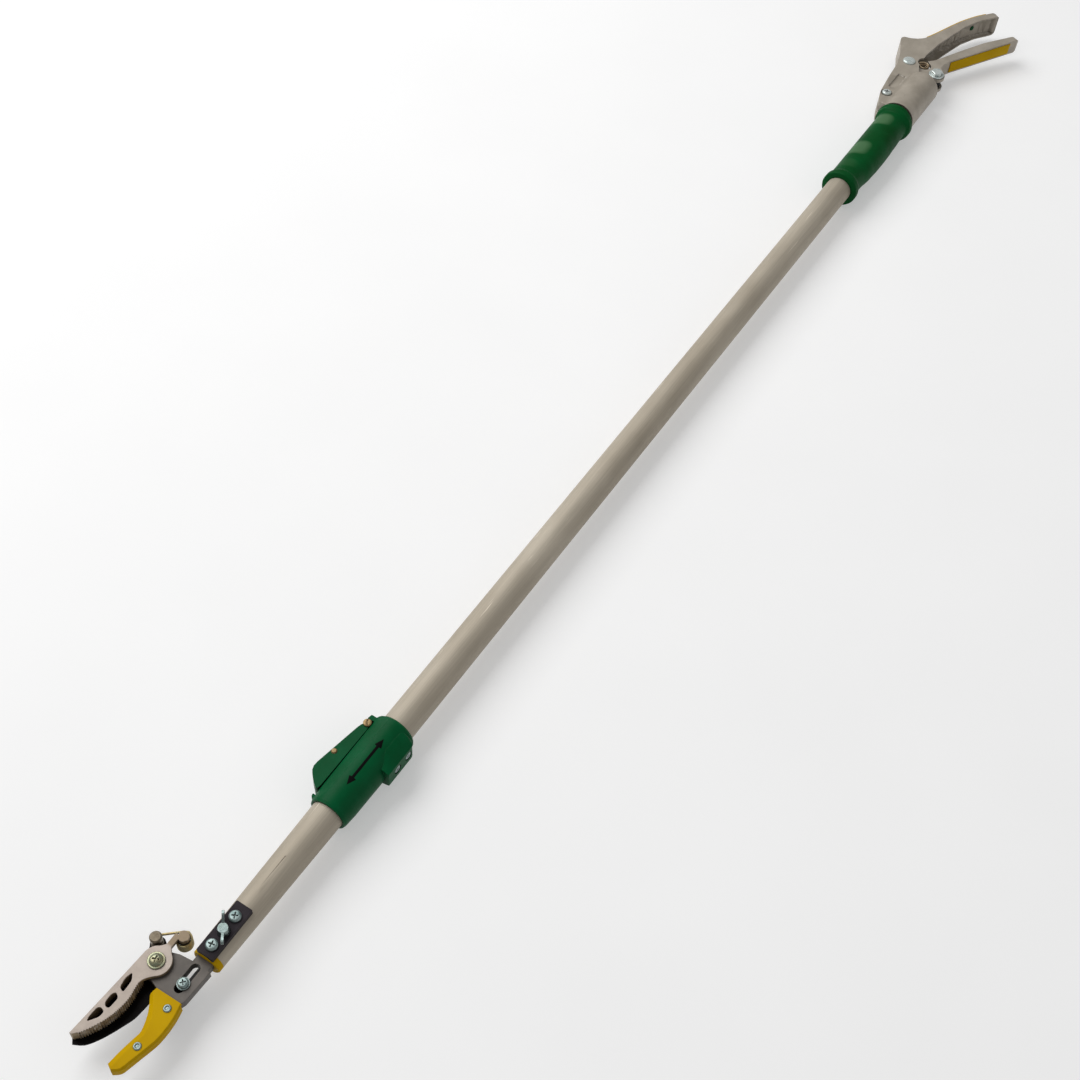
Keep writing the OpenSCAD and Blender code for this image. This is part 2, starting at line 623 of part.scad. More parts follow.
// Pad under the cam, hollowed to the inner tube
module lock_pad() {
    half = pad_len / 2;
    y_top = -lock_pivot_y + cam_throw + cam_r + free / 2;
    color("goldenrod") difference() {
        box([lock_at[0] - half, y_top, -pad_half], [lock_at[0] + half, -inner_r + 2, pad_half]);
        bar_x(inner_r + 0.1, lock_at[0] - half - cut, lock_at[0] + half + cut);
        box([lock_at[0] - half - cut, -inner_r + 0.8, -pad_half - cut],
            [lock_at[0] + half + cut, -inner_r + 2 + cut, pad_half + cut]);
    }
}
// Bush in the sleeve, past the outer tube's end
module lower_guide_bush() {
    color("ivory") difference() {
        bar_x(tube_r - fit, x_tube_head, x_head_tube - 0.5);
        bar_x(inner_r + run, x_tube_head - cut, x_head_tube + cut);
    }
}

// Inner tube and what rides on it
module inner_tube() {
    color("lightgray") difference() {
        bar_x(inner_r, x_inner_tail, x_inner_head);
        bar_x(inner_bore, x_inner_tail - cut, x_inner_head + cut);
        for (x = rivet_xs) rivet_hole(x);
    }
}
bush_lip = 8;
bush_len = 14;
module upper_guide_bush() {
    color("ivory") difference() {
        union() {
            bar_x(tube_bore - free / 2, x_inner_tail - bush_lip, x_inner_tail);
            bar_x(inner_bore - fit, x_inner_tail, x_inner_tail + bush_len);
        }
        bar_x(drive_r + free, x_inner_tail - bush_lip - cut, x_inner_tail + bush_len + cut);
    }
}
// Guide for the pull rod, set back by the rod's travel so that the strap never meets it
module pull_rod_guide() {
    len = 14;
    x = x_inner_head - rod_travel - 3;
    color("ivory") difference() {
        bar_x(inner_bore - fit, x - len, x);
        bar_x(pull_r + run, x - len - cut, x + cut);
    }
}

// Tapered head tube, joined to the inner tube by two rivets behind
rivet_xs = [x_head_tube + 14, x_head_tube + 30];
tube_rivet_r = 1.9;
module rivet_hole(x) { bar_z([x, 0], tube_rivet_r + fit, -head_r0 - cut, -inner_bore + cut); }
saw_len = 42;
plate_x = [x_head_end - 32, x_head_end - 8];
wing_x = x_head_end - 20;
module head_tube() {
    groove = 0.4;
    color("darkgray") difference() {
        cone_x(head_r0, head_r1, x_head_tube, x_cap);
        bar_x(inner_r + fit, x_head_tube - cut, x_inner_head);
        cone_x(inner_r - 0.05, head_bore, x_inner_head - 0.01, x_cap + 0.01);
        for (x = rivet_xs) rivet_hole(x);
        for (x = concat(plate_x, [wing_x])) bar_z([x, 0], screw_r + 0.1, 0, head_r0 + cut);
        box([x_inner_head + 4, -0.5, head_r0 - 1.1], [x_head_end - saw_len - 4, 0.5, head_r0 + groove]);
    }
}
module tube_rivets() {
    head = 3.4;
    color("lightgray") for (x = rivet_xs) {
        skin = head_r0 - (x - head - x_head_tube) / (x_cap - x_head_tube) * (head_r0 - head_r1) + 0.01;
        bar_z([x, 0], tube_rivet_r, -skin, -inner_bore - 0.1);
        mirror([0, 0, 1]) spun_z([x, 0], [[0, skin], [head, skin], [head - 1, skin + 1.2], [0, skin + 1.2]]);
    }
}
// Yellow end cap with slots for the head's tang and the strap
tang_y = 6.5;
module tube_end_cap() {
    x0 = x_cap - 8;
    x1 = x_head_end;
    bevel = 0.8;
    color("gold") difference() {
        union() {
            bar_x(head_bore - fit, x0, x_cap);
            spun_x([[x_cap, 0], [x_cap, head_r1], [x1 - bevel, head_r1], [x1, head_r1 - bevel], [x1, 0]]);
        }
        box([x0 - cut, -tang_y - fit, body_z0 - fit], [x1 + cut, tang_y + fit, body_z1 + fit]);
        box([x0 - cut, -strap_w / 2 - free, strap_z0 - free],
            [x1 + cut, strap_w / 2 + free, strap_z1 + free]);
        for (x = plate_x) bar_z([x, 0], screw_r + fit, 0, head_r0);
    }
}

// Hook: inner and outer edges of its yellow cover, drawn from the blade's pivot
hook_in = curve(moved([[13.2, 10.8], [17.9, 10.2], [21, 12], [24.3, 14.5], [30.7, 18.3], [40, 21.6],
    [46, 21], [56.7, 19.3], [67.5, 18.3]], pivot), 3);
hook_out = curve(moved([[70.2, 23.5], [66.5, 28], [60, 30], [51.7, 32.1], [45, 33.8], [38.8, 35],
    [30.3, 35.2], [21.7, 34.4], [12.6, 32.4]], pivot), 3);
function hook_line(a, b) = concat(beside(hook_in, a), beside(hook_out, b));
cover_rivet_at = [pivot + [20.2, 26.5], pivot + [49.3, 27]];
cover_rivet_r = 1.5;

// Head casting: tang in the tube, ear round the pivot, hook's core, slot for the blade pin
ear_round = 11;
module head_body() {
    tang_x = x_head_end - 44 - pivot[0];
    step_x = -14;
    ear = arc([0, 0], ear_round, 165, 375, 16);
    side = [[-12.7, 8.7], [-13.3, 14], [step_x, 20]];
    color("gray") difference() {
        union() {
            plate(moved(concat(ear, [[13.5, 12], [14, 31], [10, 32.4], [-2.7, 32.8], [step_x, 33.2]],
                [[step_x, pivot_y + tang_y], [tang_x, pivot_y + tang_y], [tang_x, pivot_y - tang_y],
                [step_x, pivot_y - tang_y]], back(side)), pivot), body_z0, body_z1);
            plate(hook_line(cover_wall, cover_wall), body_z0, body_z1);
        }
        bar_z(pivot, pivot_r + fit, body_z0 - cut, body_z1 + cut);
        pin_slot();
        for (p = cover_rivet_at) bar_z(p, cover_rivet_r + fit, body_z0 - cut, body_z1 + cut);
        for (x = concat(plate_x, [wing_x])) bar_z([x, 0], screw_r + 0.1, body_z0 - cut, body_z1 + cut);
    }
}
// Straight slot along the pole, as wide as the pin and the rise of its arc
module pin_slot() {
    rise = pin_arm * (1 - cos(blade_turn - pin_lean));
    half = pin_r + rise / 2 + free;
    y = pivot[1] + pin_arm - rise / 2;
    ends = [pivot[0] - 10.5, pivot[0] + 5.2];
    box([ends[0], y - half, body_z0 - cut], [ends[1], y + half, body_z1 + cut]);
    for (x = ends) bar_z([x, y], half + fit, body_z0 - cut, body_z1 + cut);
}
// Yellow cover over the hook, with a bevel along its inner edge that widens from the throat
function hook_bevel(i) = 1 + 2.6 * min(1, i / 12);
module hook_cover() {
    shoulder = body_z1 - 0.6;
    top = body_z1 + cover_wall;
    bevel = concat([for (i = [0 : len(hook_in) - 1]) hook_in[i] + hook_bevel(i) * side_of(hook_in, i)],
        beside(hook_out, 1));
    color("gold") difference() {
        union() {
            plate(hook_line(0, 0), body_z0 + 0.2, shoulder);
            loft(hook_line(0, 0), shoulder, bevel, top);
        }
        plate(hook_line(cover_wall - fit, cover_wall - fit), body_z0 - cut, body_z1 + fit);
        plate(moved([[0, 5], [14 + fit, 5], [14 + fit, 40], [0, 40]], pivot), body_z0 - cut, body_z1 + fit);
        for (p = cover_rivet_at) bar_z(p, cover_rivet_r + fit, body_z0 - cut, top + cut);
    }
}
module cover_rivets() {
    top = body_z1 + cover_wall;
    color("gray") for (p = cover_rivet_at) {
        bar_z(p, cover_rivet_r, body_z0, top);
        spun_z(p, [[0, top], [2.8, top], [2, top + 1], [0, top + 1]]);
    }
}

// Saddle plate for a saw, its two screws and its wing screw
saw_top = 13;
module saw_plate() {
    half = 6.8;
    x0 = x_head_end - saw_len;
    color("dimgray") difference() {
        plate(rounded([[x0, -half], [x_head_end, -half], [x_head_end, half], [x0, half]], 1), 7.8, saw_top);
        cone_x(head_r0 + 0.01, head_r1 + 0.01, x_head_tube, x_cap);
        bar_x(head_r1 + 0.01, x_cap - cut, x_head_end + cut);
        for (x = concat(plate_x, [wing_x])) bar_z([x, 0], screw_r + 0.1, 0, saw_top + cut);
    }
}
module plate_screws() {
    head = 4.4;
    color("lightgray") for (x = plate_x) {
        bar_z([x, 0], screw_r, body_z0, saw_top);
        spun_z([x, 0], [[0, saw_top], [head, saw_top], [head, saw_top + 1.4], [head - 1.2, saw_top + 2.6],
            [0, saw_top + 2.6]]);
    }
}
module wing_screw() {
    z0 = saw_top + free;
    hub = 4.6;
    wing_t = 1.8;
    wing_side = [[2, 2], [5, 3.2], [11.5, 4], [12.5, 6.5], [9, 7], [2, 4.6]];
    color("lightgray") {
        bar_z([wing_x, 0], screw_r, body_z0, z0);
        spun_z([wing_x, 0], [[0, z0], [hub, z0], [hub - 1, z0 + 5], [0, z0 + 5]]);
        translate([wing_x, 0, z0]) rotate(38) for (s = [0, 180]) rotate([90, 0, s])
            translate([0, 0, -wing_t / 2]) linear_extrude(height = wing_t) polygon(rounded(wing_side, 2));
    }
}

// Pivot bolt and its nut
module pivot_bolt() {
    head = 6;
    z0 = hold_z1 + free;
    color("goldenrod") {
        bar_z(pivot, pivot_r, blade_z0 - 4.6, z0);
        spun_z(pivot, [[0, z0], [head, z0], [head, z0 + 0.8], [head - 1.2, z0 + 2.2],
            [head - 3.4, z0 + 3], [0, z0 + 3]]);
    }
}
module pivot_nut() {
    thick = 4;
    low = blade_z0 - free - thick;
    color("goldenrod") difference() {
        translate([pivot[0], pivot[1], low]) cylinder(r = 7.4, h = thick, $fn = 6);
        bar_z(pivot, pivot_r + fit, low - cut, blade_z0 + cut);
    }
}

// Pull rod and the flat strap that steps down behind the head's tang
x_pull_tail = x_inner_tail - 20;
x_pull_head = x_inner_head + 13;
module pull_rod() { color("lightgray") bar_x(pull_r, x_pull_tail, x_pull_head); }
module rod_strap() {
    socket = pull_r + 1.6;
    socket_in = 12;
    x_low = x_head_end - 50;
    x_step = x_pull_head - 6;
    slack_y = pin_arm * (1 - cos(blade_turn - pin_lean));
    eye_r = strap_w / 2 + 1.2;
    color("silver") difference() {
        union() {
            bar_x(socket, x_pull_head - socket_in, x_pull_head + 4);
            translate([0, strap_w / 2, 0]) rotate([90, 0, 0]) linear_extrude(height = strap_w)
                polygon([[x_step, strap_t / 2 - 2.6], [x_pull_head + 5, strap_t / 2], [x_low, strap_z1],
                [pin_at[0], strap_z1], [pin_at[0], strap_z0], [x_low - 2, strap_z0],
                [x_pull_head + 3, -strap_t / 2 - 1], [x_step, -strap_t / 2 - 1.4]]);
            bar_z([pin_at[0], pin_at[1] - slack_y / 2], eye_r, strap_z0, strap_z1);
        }
        bar_x(pull_r + fit, x_pull_head - socket_in - cut, x_pull_head);
        for (d = [run, -slack_y - run])
            bar_z(pin_at + [0, d], pin_r + free, strap_z0 - cut, strap_z1 + cut);
        box([pin_at[0] - pin_r - free, pin_at[1] - slack_y - run, strap_z0 - cut],
            [pin_at[0] + pin_r + free, pin_at[1] + run, strap_z1 + cut]);
    }
}

// Blade, ground from behind along its convex edge
blade_back = moved([[0, -10.5], [34, -11.2], [50, -12.6], [60, -13.6], [66.5, -14]], pivot);
blade_edge = curve(moved([[69.4, -11.5], [65.4, -4.6], [58, 0.6], [49.8, 4.6], [41.7, 7.8], [35.6, 10],
    [29.4, 10.8], [20, 11.2], [8, 9]], pivot), 3);
post_at = pivot + [-12, -11];
module blade() {
    grind = 3.6;
    face = blade_z1 - 1.2;
    boss = 11;
    pin_boss = 5.8;
    color("#202020") difference() {
        union() {
            plate(concat(blade_back, blade_edge), face, blade_z1);
            loft(concat(blade_back, beside(blade_edge, grind)), blade_z0,
                concat(blade_back, blade_edge), face);
            bar_z(pivot, boss, blade_z0, blade_z1);
            bar_z(pin_at, pin_boss, blade_z0, blade_z1);
            plate([pivot + [boss - 1, 0], pin_at + [pin_boss - 0.4, 0], pin_at - [pin_boss - 0.4, 0],
                pivot - [boss - 1, 0]], blade_z0, blade_z1);
            bar_z(post_at, 5.4, blade_z0, blade_z1);
            plate([pivot + [0, -10.6], pivot + [-10.6, 0], post_at + [-3.8, 3.8], post_at + [3.8, -3.8]],
                blade_z0, blade_z1);
        }
        bar_z(pivot, pivot_r + run, blade_z0 - cut, blade_z1 + cut);
        bar_z(pin_at, pin_r + fit, blade_z0 - cut, blade_z1 + cut);
        bar_z(post_at, post_shank + fit, blade_z0 - cut, blade_z1 + cut);
    }
}
module blade_pin() {
    washer = 4.5;
    head = 3.7;
    z0 = hold_z0;
    color("lightgray") {
        bar_z(pin_at, pin_r, strap_z0 - 1.6, z0);
        bar_z(pin_at, washer, z0, z0 + 1);
        spun_z(pin_at, [[0, z0 + 1], [head, z0 + 1], [head, z0 + 2.2], [head - 1.1, z0 + 3.2],
            [0, z0 + 3.2]]);
        bar_z(pin_at, washer, strap_z0 - 1.6, strap_z0 - free);
    }
}
// Spool-shaped post on the blade, with a groove that the hold spring's hook works in
post_r = 4.3;
post_shank = 2;
module spring_post() {
    neck = 2.2;
    half = hold_wire / 2 + free;
    color("gray") {
        bar_z(post_at, post_shank, blade_z0, blade_z1);
        spun_z(post_at, [[0, blade_z1], [post_r, blade_z1], [post_r, hold_top_z - half],
            [neck, hold_top_z - half], [neck, hold_top_z + half], [post_r, hold_top_z + half],
            [post_r, hold_z1 + 1], [post_r - 0.9, hold_z1 + 2], [0, hold_z1 + 2]]);
    }
}

// Hold plate in front of the blade: heel on the pivot, windowed face, toothed wall, tail for its spring
hold_wall = 2.2;
hold_in = curve(moved([[14, -0.6], [21.3, 0.5], [28.5, 1.8], [36.3, 1.5], [42.5, 0.3], [49, -1.8],
    [57.2, -5.7], [63.6, -9.7]], pivot), 10);
hold_tip = moved([[66.5, -12.4], [66.6, -14]], pivot);
hold_top = moved([[54.2, -13.3], [18, -11.3], [0, -10.5]], pivot);
hold_teeth = [for (i = [0 : len(hold_in) - 1]) hold_in[i] + (i % 2) * tooth * side_of(hold_in, i)];
coil_at = pivot + [-22.5, 3.6];
windows = [[[14.5, -7.6], [19, -4.2], [28, -3.6], [26.6, -7.6], [20, -8.9]],
    [[30.2, -7.4], [32.6, -3.6], [40.8, -3.9], [41.4, -6.6], [39.3, -8.9], [33, -9.1]],
    [[43, -9], [44.2, -5], [48.8, -5.4], [55.2, -10], [52.4, -10.9], [45, -10.7]]];
module hold_plate() {
    heel = 10.5;
    boss = core(hold_r, hold_wire);
    slit = hold_wire / 2 + free;
    foot = body_z0 + 0.2;
    color("lightgray") difference() {
        union() {
            plate(concat(hold_teeth, hold_tip, hold_top), hold_z0, hold_z1);
            difference() {
                plate(concat(hold_teeth, hold_tip, hold_top), foot, hold_z0);
                plate(concat(beside(hold_in, -hold_wall), moved([[62, -11.5]], pivot),
                    beside(hold_top, -hold_wall)), foot - cut, hold_z0);
                bar_z(pivot, ear_round + 0.6, foot - cut, hold_z0);
            }
            bar_z(pivot, heel, hold_z0, hold_z1);
            plate([pivot + [10.4, 0.6], hold_in[2], pivot + [16, -8]], hold_z0, hold_z1);
            plate(moved([[-8, -6], [-12.5, -2.1], [-22, -2.1], [-22, 2], [-12.5, 2], [-8, 6]], pivot),
                hold_z0, hold_z1);
            plate(arc(coil_at, hold_r + hold_wire / 2 + free, 75, 262, 12), hold_z0, hold_z1);
            bar_z(coil_at, boss, hold_spring_z0 - hold_wire / 2, hold_z1);
        }
        bar_z(pivot, pivot_r + run, hold_z0 - cut, hold_z1 + cut);
        for (w = windows) plate(moved(rounded(w, 1.6), pivot), hold_z0 - cut, hold_z1 + cut);
        translate([coil_at[0], coil_at[1], hold_spring_z0]) rotate(hold_start)
            box([-slit, -slit, -slit - cut], [hold_r, slit, slit]);
    }
}
// Torsion coil on the hold plate's tail: a tang in the boss's slit, a hook round the blade's post
hold_r = 5;
hold_pitch = hold_wire + 0.55;
hold_top_z = hold_z0 - free - hold_wire / 2;
hold_spring_z0 = hold_top_z - hold_turns * hold_pitch;
hold_start = 215;
hook_from = 212;
hook_to = 284;
hold_path = concat([[coil_at[0], coil_at[1], hold_spring_z0]],
    coil(coil_at, hold_r, hold_start, hold_turns, hold_spring_z0, hold_pitch),
    [for (p = arc(post_at, post_r + hold_wire / 2, hook_from, hook_to, 3)) [p[0], p[1], hold_top_z]]);
echo(hold_spring_least_gap = self_gap(hold_path, hold_wire / 2));
module hold_spring() { color("goldenrod") wire(hold_path, hold_wire / 2); }

outer_tube();
grip();
handle_body();
fixed_insert();
tip_stud();
clamp_screw();
lever_rivet();
coupling_sleeve();
sleeve_screws();
lock_pin();
lower_guide_bush();
rod_guide_disc();
squeeze_lever();
lever_insert();
return_spring();
drive_tube();
rod_clevis();
rod_bolt();
rod_nut();
rod_collet();
lock_lever();
lever_stud();
lock_pad();
inner_tube();
upper_guide_bush();
pull_rod_guide();
head_tube();
tube_rivets();
tube_end_cap();
head_body();
hook_cover();
cover_rivets();
saw_plate();
plate_screws();
pivot_bolt();
pivot_nut();
wing_screw();
pull_rod();
rod_strap();
blade();
blade_pin();
spring_post();
hold_plate();
hold_spring();
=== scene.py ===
"""Looks of the telescopic tree pruner pole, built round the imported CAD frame, in the CAD axes.
Materials and the scene measure in metres. Pieces are written in millimetres, which solid() scales."""
import json
import math

import bmesh
import bpy
from mathutils import Matrix, Vector


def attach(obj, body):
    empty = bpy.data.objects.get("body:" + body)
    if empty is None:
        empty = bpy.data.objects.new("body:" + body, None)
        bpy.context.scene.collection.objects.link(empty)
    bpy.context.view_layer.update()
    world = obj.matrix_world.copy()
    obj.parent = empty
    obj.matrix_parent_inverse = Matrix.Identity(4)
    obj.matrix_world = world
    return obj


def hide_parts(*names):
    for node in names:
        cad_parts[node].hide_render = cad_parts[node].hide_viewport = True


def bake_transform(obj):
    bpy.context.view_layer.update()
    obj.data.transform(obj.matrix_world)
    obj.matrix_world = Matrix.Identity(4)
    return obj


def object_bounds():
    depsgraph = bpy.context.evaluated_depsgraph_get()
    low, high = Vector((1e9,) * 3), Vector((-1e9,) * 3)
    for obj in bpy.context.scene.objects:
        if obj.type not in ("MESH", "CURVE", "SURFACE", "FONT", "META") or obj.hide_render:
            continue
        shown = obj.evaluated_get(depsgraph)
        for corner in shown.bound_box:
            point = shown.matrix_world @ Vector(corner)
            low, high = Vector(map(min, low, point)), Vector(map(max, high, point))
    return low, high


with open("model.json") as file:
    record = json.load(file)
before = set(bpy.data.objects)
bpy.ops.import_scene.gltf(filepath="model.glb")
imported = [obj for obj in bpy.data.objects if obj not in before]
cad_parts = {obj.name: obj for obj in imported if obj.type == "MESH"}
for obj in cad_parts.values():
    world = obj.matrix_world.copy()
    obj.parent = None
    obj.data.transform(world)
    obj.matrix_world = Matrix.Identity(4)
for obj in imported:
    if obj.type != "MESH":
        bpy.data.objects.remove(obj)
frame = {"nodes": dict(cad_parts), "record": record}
cad_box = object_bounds()
nodes = frame["nodes"]
scene = bpy.context.scene
scene.view_settings.view_transform = "Standard"


def linked(name, data):
    """A new object in the scene."""
    obj = bpy.data.objects.new(name, data)
    scene.collection.objects.link(obj)
    return obj


# Camera at the photograph's place
RIGHT = Vector((-0.53312, 0.84422, 0.05537))
UP = Vector((-0.64730, -0.44915, 0.61583))
LOOK = Vector((-0.54477, -0.29248, -0.78592))
PLACE = Vector((0.845, 0.3526, 0.9688))
lens = bpy.data.cameras.new("view")
lens.lens = 50
lens.sensor_width = 36
camera = linked("view", lens)
axes = Matrix((RIGHT, UP, -LOOK)).transposed().to_4x4()
camera.matrix_world = Matrix.Translation(PLACE) @ axes
scene.camera = camera

# Where most values of a noise texture lie, and the samples of the edge and corner nodes
NOISE_LOW, NOISE_HIGH = 0.3, 0.7
NODE_SAMPLES = 6


def linear(rgb):
    """Linear RGBA of an sRGB colour from 0 to 255."""
    toe = 10.3
    return tuple(c / 255 / 12.92 if c < toe else ((c / 255 + 0.055) / 1.055) ** 2.4 for c in rgb) + (1.0,)


def shade(rgb, share):
    """Linear RGBA of an sRGB colour made darker."""
    return linear([c * share for c in rgb])


class Surface:
    """A node material on the Principled shader, with the few textures that the finishes share."""

    def __init__(self, name, metal=0.0, specular=0.5):
        self.material = bpy.data.materials.new(name)
        self.material.use_nodes = True
        self.tree = self.material.node_tree
        self.tree.nodes.clear()
        out = self.node("ShaderNodeOutputMaterial")
        self.shader = self.node("ShaderNodeBsdfPrincipled", **{"Metallic": metal, "Specular IOR Level": specular})
        self.link(self.shader.outputs[0], out.inputs[0])
        self.place = self.node("ShaderNodeTexCoord").outputs["Object"]

    def node(self, kind, **inputs):
        n = self.tree.nodes.new(kind)
        for key, value in inputs.items():
            n.inputs[key].default_value = value
        return n

    def link(self, a, b):
        self.tree.links.new(a, b)

    def noise(self, scale, stretch=(1, 1, 1), detail=4.0, turn=(0, 0, 0)):
        """Noise of so many cells to a metre, stretched along the axes."""
        at = self.node("ShaderNodeMapping", Scale=stretch, Rotation=turn)
        self.link(self.place, at.inputs[0])
        n = self.node("ShaderNodeTexNoise", Scale=scale, Detail=detail, Roughness=0.55)
        self.link(at.outputs[0], n.inputs["Vector"])
        return n.outputs["Fac"]

    def ramp(self, fac, stops):
        r = self.node("ShaderNodeValToRGB")
        while len(r.color_ramp.elements) < len(stops):
            r.color_ramp.elements.new(0.5)
        for e, (at, colour) in zip(r.color_ramp.elements, stops):
            e.position = at
            e.color = colour
        self.link(fac, r.inputs[0])
        return r.outputs[0]

    def tones(self, fac, dark, light, high=NOISE_HIGH):
        """Two sRGB colours that a noise wanders between."""
        return self.ramp(fac, [(NOISE_LOW, linear(dark)), (high, linear(light))])

    def level(self, fac, low, high, a=0.0, b=1.0):
        """fac from low..high mapped to a..b."""
        n = self.node("ShaderNodeMapRange")
        for key, value in zip(("From Min", "From Max", "To Min", "To Max"), (low, high, a, b)):
            n.inputs[key].default_value = value
        self.link(fac, n.inputs["Value"])
        return n.outputs[0]

    def mix(self, fac, a, b, way="MIX"):
        n = self.node("ShaderNodeMix")
        n.data_type = "RGBA"
        n.blend_type = way
        for socket, value in ((n.inputs[0], fac), (n.inputs[6], a), (n.inputs[7], b)):
            if isinstance(value, (tuple, float)):
                socket.default_value = value
            else:
                self.link(value, socket)
        return n.outputs[2]

    def combine(self, a, b, way):
        """Two values in one, by the Math node's operation."""
        n = self.node("ShaderNodeMath")
        n.operation = way
        self.link(a, n.inputs[0])
        self.link(b, n.inputs[1])
        return n.outputs[0]

    def product(self, a, b):
        return self.combine(a, b, "MULTIPLY")

    def axes(self, vector):
        """X, Y and Z of a vector."""
        parts = self.node("ShaderNodeSeparateXYZ")
        self.link(vector, parts.inputs[0])
        return parts.outputs

    def patches(self, spans, y_from, y_to):
        """Soft patches from (low x, high x, strength) spans, that fade out between two values of Y."""
        x, y, _ = self.axes(self.place)
        fade = self.level(y, y_from, y_to)
        fade = self.product(fade, fade)
        total = None
        for low, high, strength in spans:
            u = self.level(x, low, high, -1, 1)
            u = self.product(u, u)
            reach = self.combine(self.product(u, u), fade, "ADD")
            patch = self.level(reach, 1.0, 0.15, 0, strength)
            total = self.combine(total, patch, "MAXIMUM") if total else patch
        return total

    def soft_normal(self, radius):
        """Normal that is rounded over the edges by a radius."""
        n = self.node("ShaderNodeBevel", Radius=radius)
        n.samples = NODE_SAMPLES
        return n.outputs[0]

    def edges(self, radius):
        """How near a sharp edge is: 0 on open faces, 1 on the edge."""
        flat = self.node("ShaderNodeNewGeometry").outputs["True Normal"]
        dot = self.node("ShaderNodeVectorMath")
        dot.operation = "DOT_PRODUCT"
        self.link(self.soft_normal(radius), dot.inputs[0])
        self.link(flat, dot.inputs[1])
        return self.level(dot.outputs["Value"], 0.98, 0.82)

    def corners(self, distance):
        """How deep in a corner a point is, by ambient occlusion: 0 in the open, 1 in a crevice. It masks painted
        shade.
        """
        n = self.node("ShaderNodeAmbientOcclusion", Distance=distance)
        n.samples = NODE_SAMPLES
        return self.level(n.outputs["AO"], 0.75, 0.2)

    def normal_z(self):
        """Z of the normal in the model's own axes."""
        return self.axes(self.node("ShaderNodeTexCoord").outputs["Normal"])[2]

    def upright(self):
        """1 on faces that stand along Z, 0 on faces square to it."""
        flat = self.node("ShaderNodeMath")
        flat.operation = "ABSOLUTE"
        self.link(self.normal_z(), flat.inputs[0])
        return self.level(flat.outputs[0], 0.8, 0.3)

    def relief(self, heights, bevel=0.0004):
        """Bump from (height, strength, distance) triples over softly rounded edges."""
        normal = self.soft_normal(bevel)
        for height, strength, distance in heights:
            b = self.node("ShaderNodeBump", Strength=strength, Distance=distance)
            self.link(height, b.inputs["Height"])
            self.link(normal, b.inputs["Normal"])
            normal = b.outputs[0]
        self.link(normal, self.shader.inputs["Normal"])

    def colour(self, socket):
        self.link(socket, self.shader.inputs["Base Color"])

    def rough(self, noise, span):
        """Roughness that follows a noise over a span."""
        self.link(self.level(noise, NOISE_LOW, NOISE_HIGH, *span), self.shader.inputs["Roughness"])


def drawn_tube(name, dark, light, rough=(0.58, 0.72), metal=0.4):
    """Satin tube: lines drawn along it, faint clouds, a few long scratches."""
    s = Surface(name, metal=metal, specular=0.4)
    lines = s.noise(1500, (0.012, 1, 1), 3)
    cloud = s.noise(22, (0.4, 1, 1), 3)
    scratch = s.level(s.noise(420, (0.05, 1, 1), 2, (0, 0, 0.02)), 0.70, 0.76)
    fine = s.ramp(lines, [(NOISE_LOW, (0.82, 0.82, 0.82, 1)), (NOISE_HIGH, (1, 1, 1, 1))])
    drawn = s.mix(1.0, s.tones(cloud, dark, light), fine, "MULTIPLY")
    s.colour(s.mix(scratch, drawn, linear([min(255, c + 26) for c in light])))
    s.rough(lines, rough)
    s.relief([(lines, 0.05, 0.0001)])
    return s.material


def moulded(name, dark, light, edge_colour, rough, grain, bump, specular=0.22, sheen_patches=None):
    """Moulded plastic or rubber: fine skin, faint clouds, painted shade in corners, paler rubbed edges.
    Its last argument gives painted sheen: paler patches on the -Y side, toward the key lamp, and their colour."""
    s = Surface(name, specular=specular)
    skin = s.noise(grain, detail=3)
    base = s.tones(s.noise(35, detail=5), dark, light)
    if sheen_patches:
        spans, sheen_colour = sheen_patches
        # Painted sheen: paler patches on the -Y side
        base = s.mix(s.patches(spans, -0.006, 0.006), base, linear(sheen_colour))
    # Painted shade: darker colour where ambient occlusion finds a corner
    corner_shaded = s.mix(s.corners(0.004), base, shade(dark, 0.45))
    rub = s.product(s.edges(0.0006), s.level(s.noise(260), 0.46, 0.66))
    s.colour(s.mix(rub, corner_shaded, linear(edge_colour)))
    s.rough(skin, rough)
    s.relief([(skin, bump, 0.0002), (s.noise(90), 0.08, 0.0006)], 0.0005)
    return s.material


def cast(name, dark, light, edge_colour, rough, side=None, tail=None, deep=0.007):
    """Die-cast metal under thin paint: grainy skin, small pits, painted shade in corners, bright rubbed edges.
    side is the colour of bare faces that stand along Z, tail a colour and the X below which the paint ends."""
    s = Surface(name, metal=0.25, specular=0.35)
    grain = s.noise(1600, detail=3)
    pits = s.level(s.noise(620, detail=2), 0.30, 0.22)
    base = s.tones(s.noise(60, detail=6), dark, light, 0.72)
    if side:
        base = s.mix(s.upright(), base, linear(side))
    if tail:
        bare, end = tail
        base = s.mix(s.level(s.axes(s.place)[0], end, end - 0.002), base, linear(bare))
    pitted = s.mix(pits, base, shade(dark, 0.6))
    # Painted shade: darker colour where ambient occlusion finds a corner
    corner_shaded = s.mix(s.corners(deep), pitted, shade(dark, 0.42))
    rub = s.product(s.edges(0.0005), s.level(s.noise(300), 0.46, 0.68))
    s.colour(s.mix(rub, corner_shaded, linear(edge_colour)))
    s.rough(grain, rough)
    s.relief([(grain, 0.16, 0.0002), (s.noise(140), 0.1, 0.0006)], 0.0006)
    return s.material


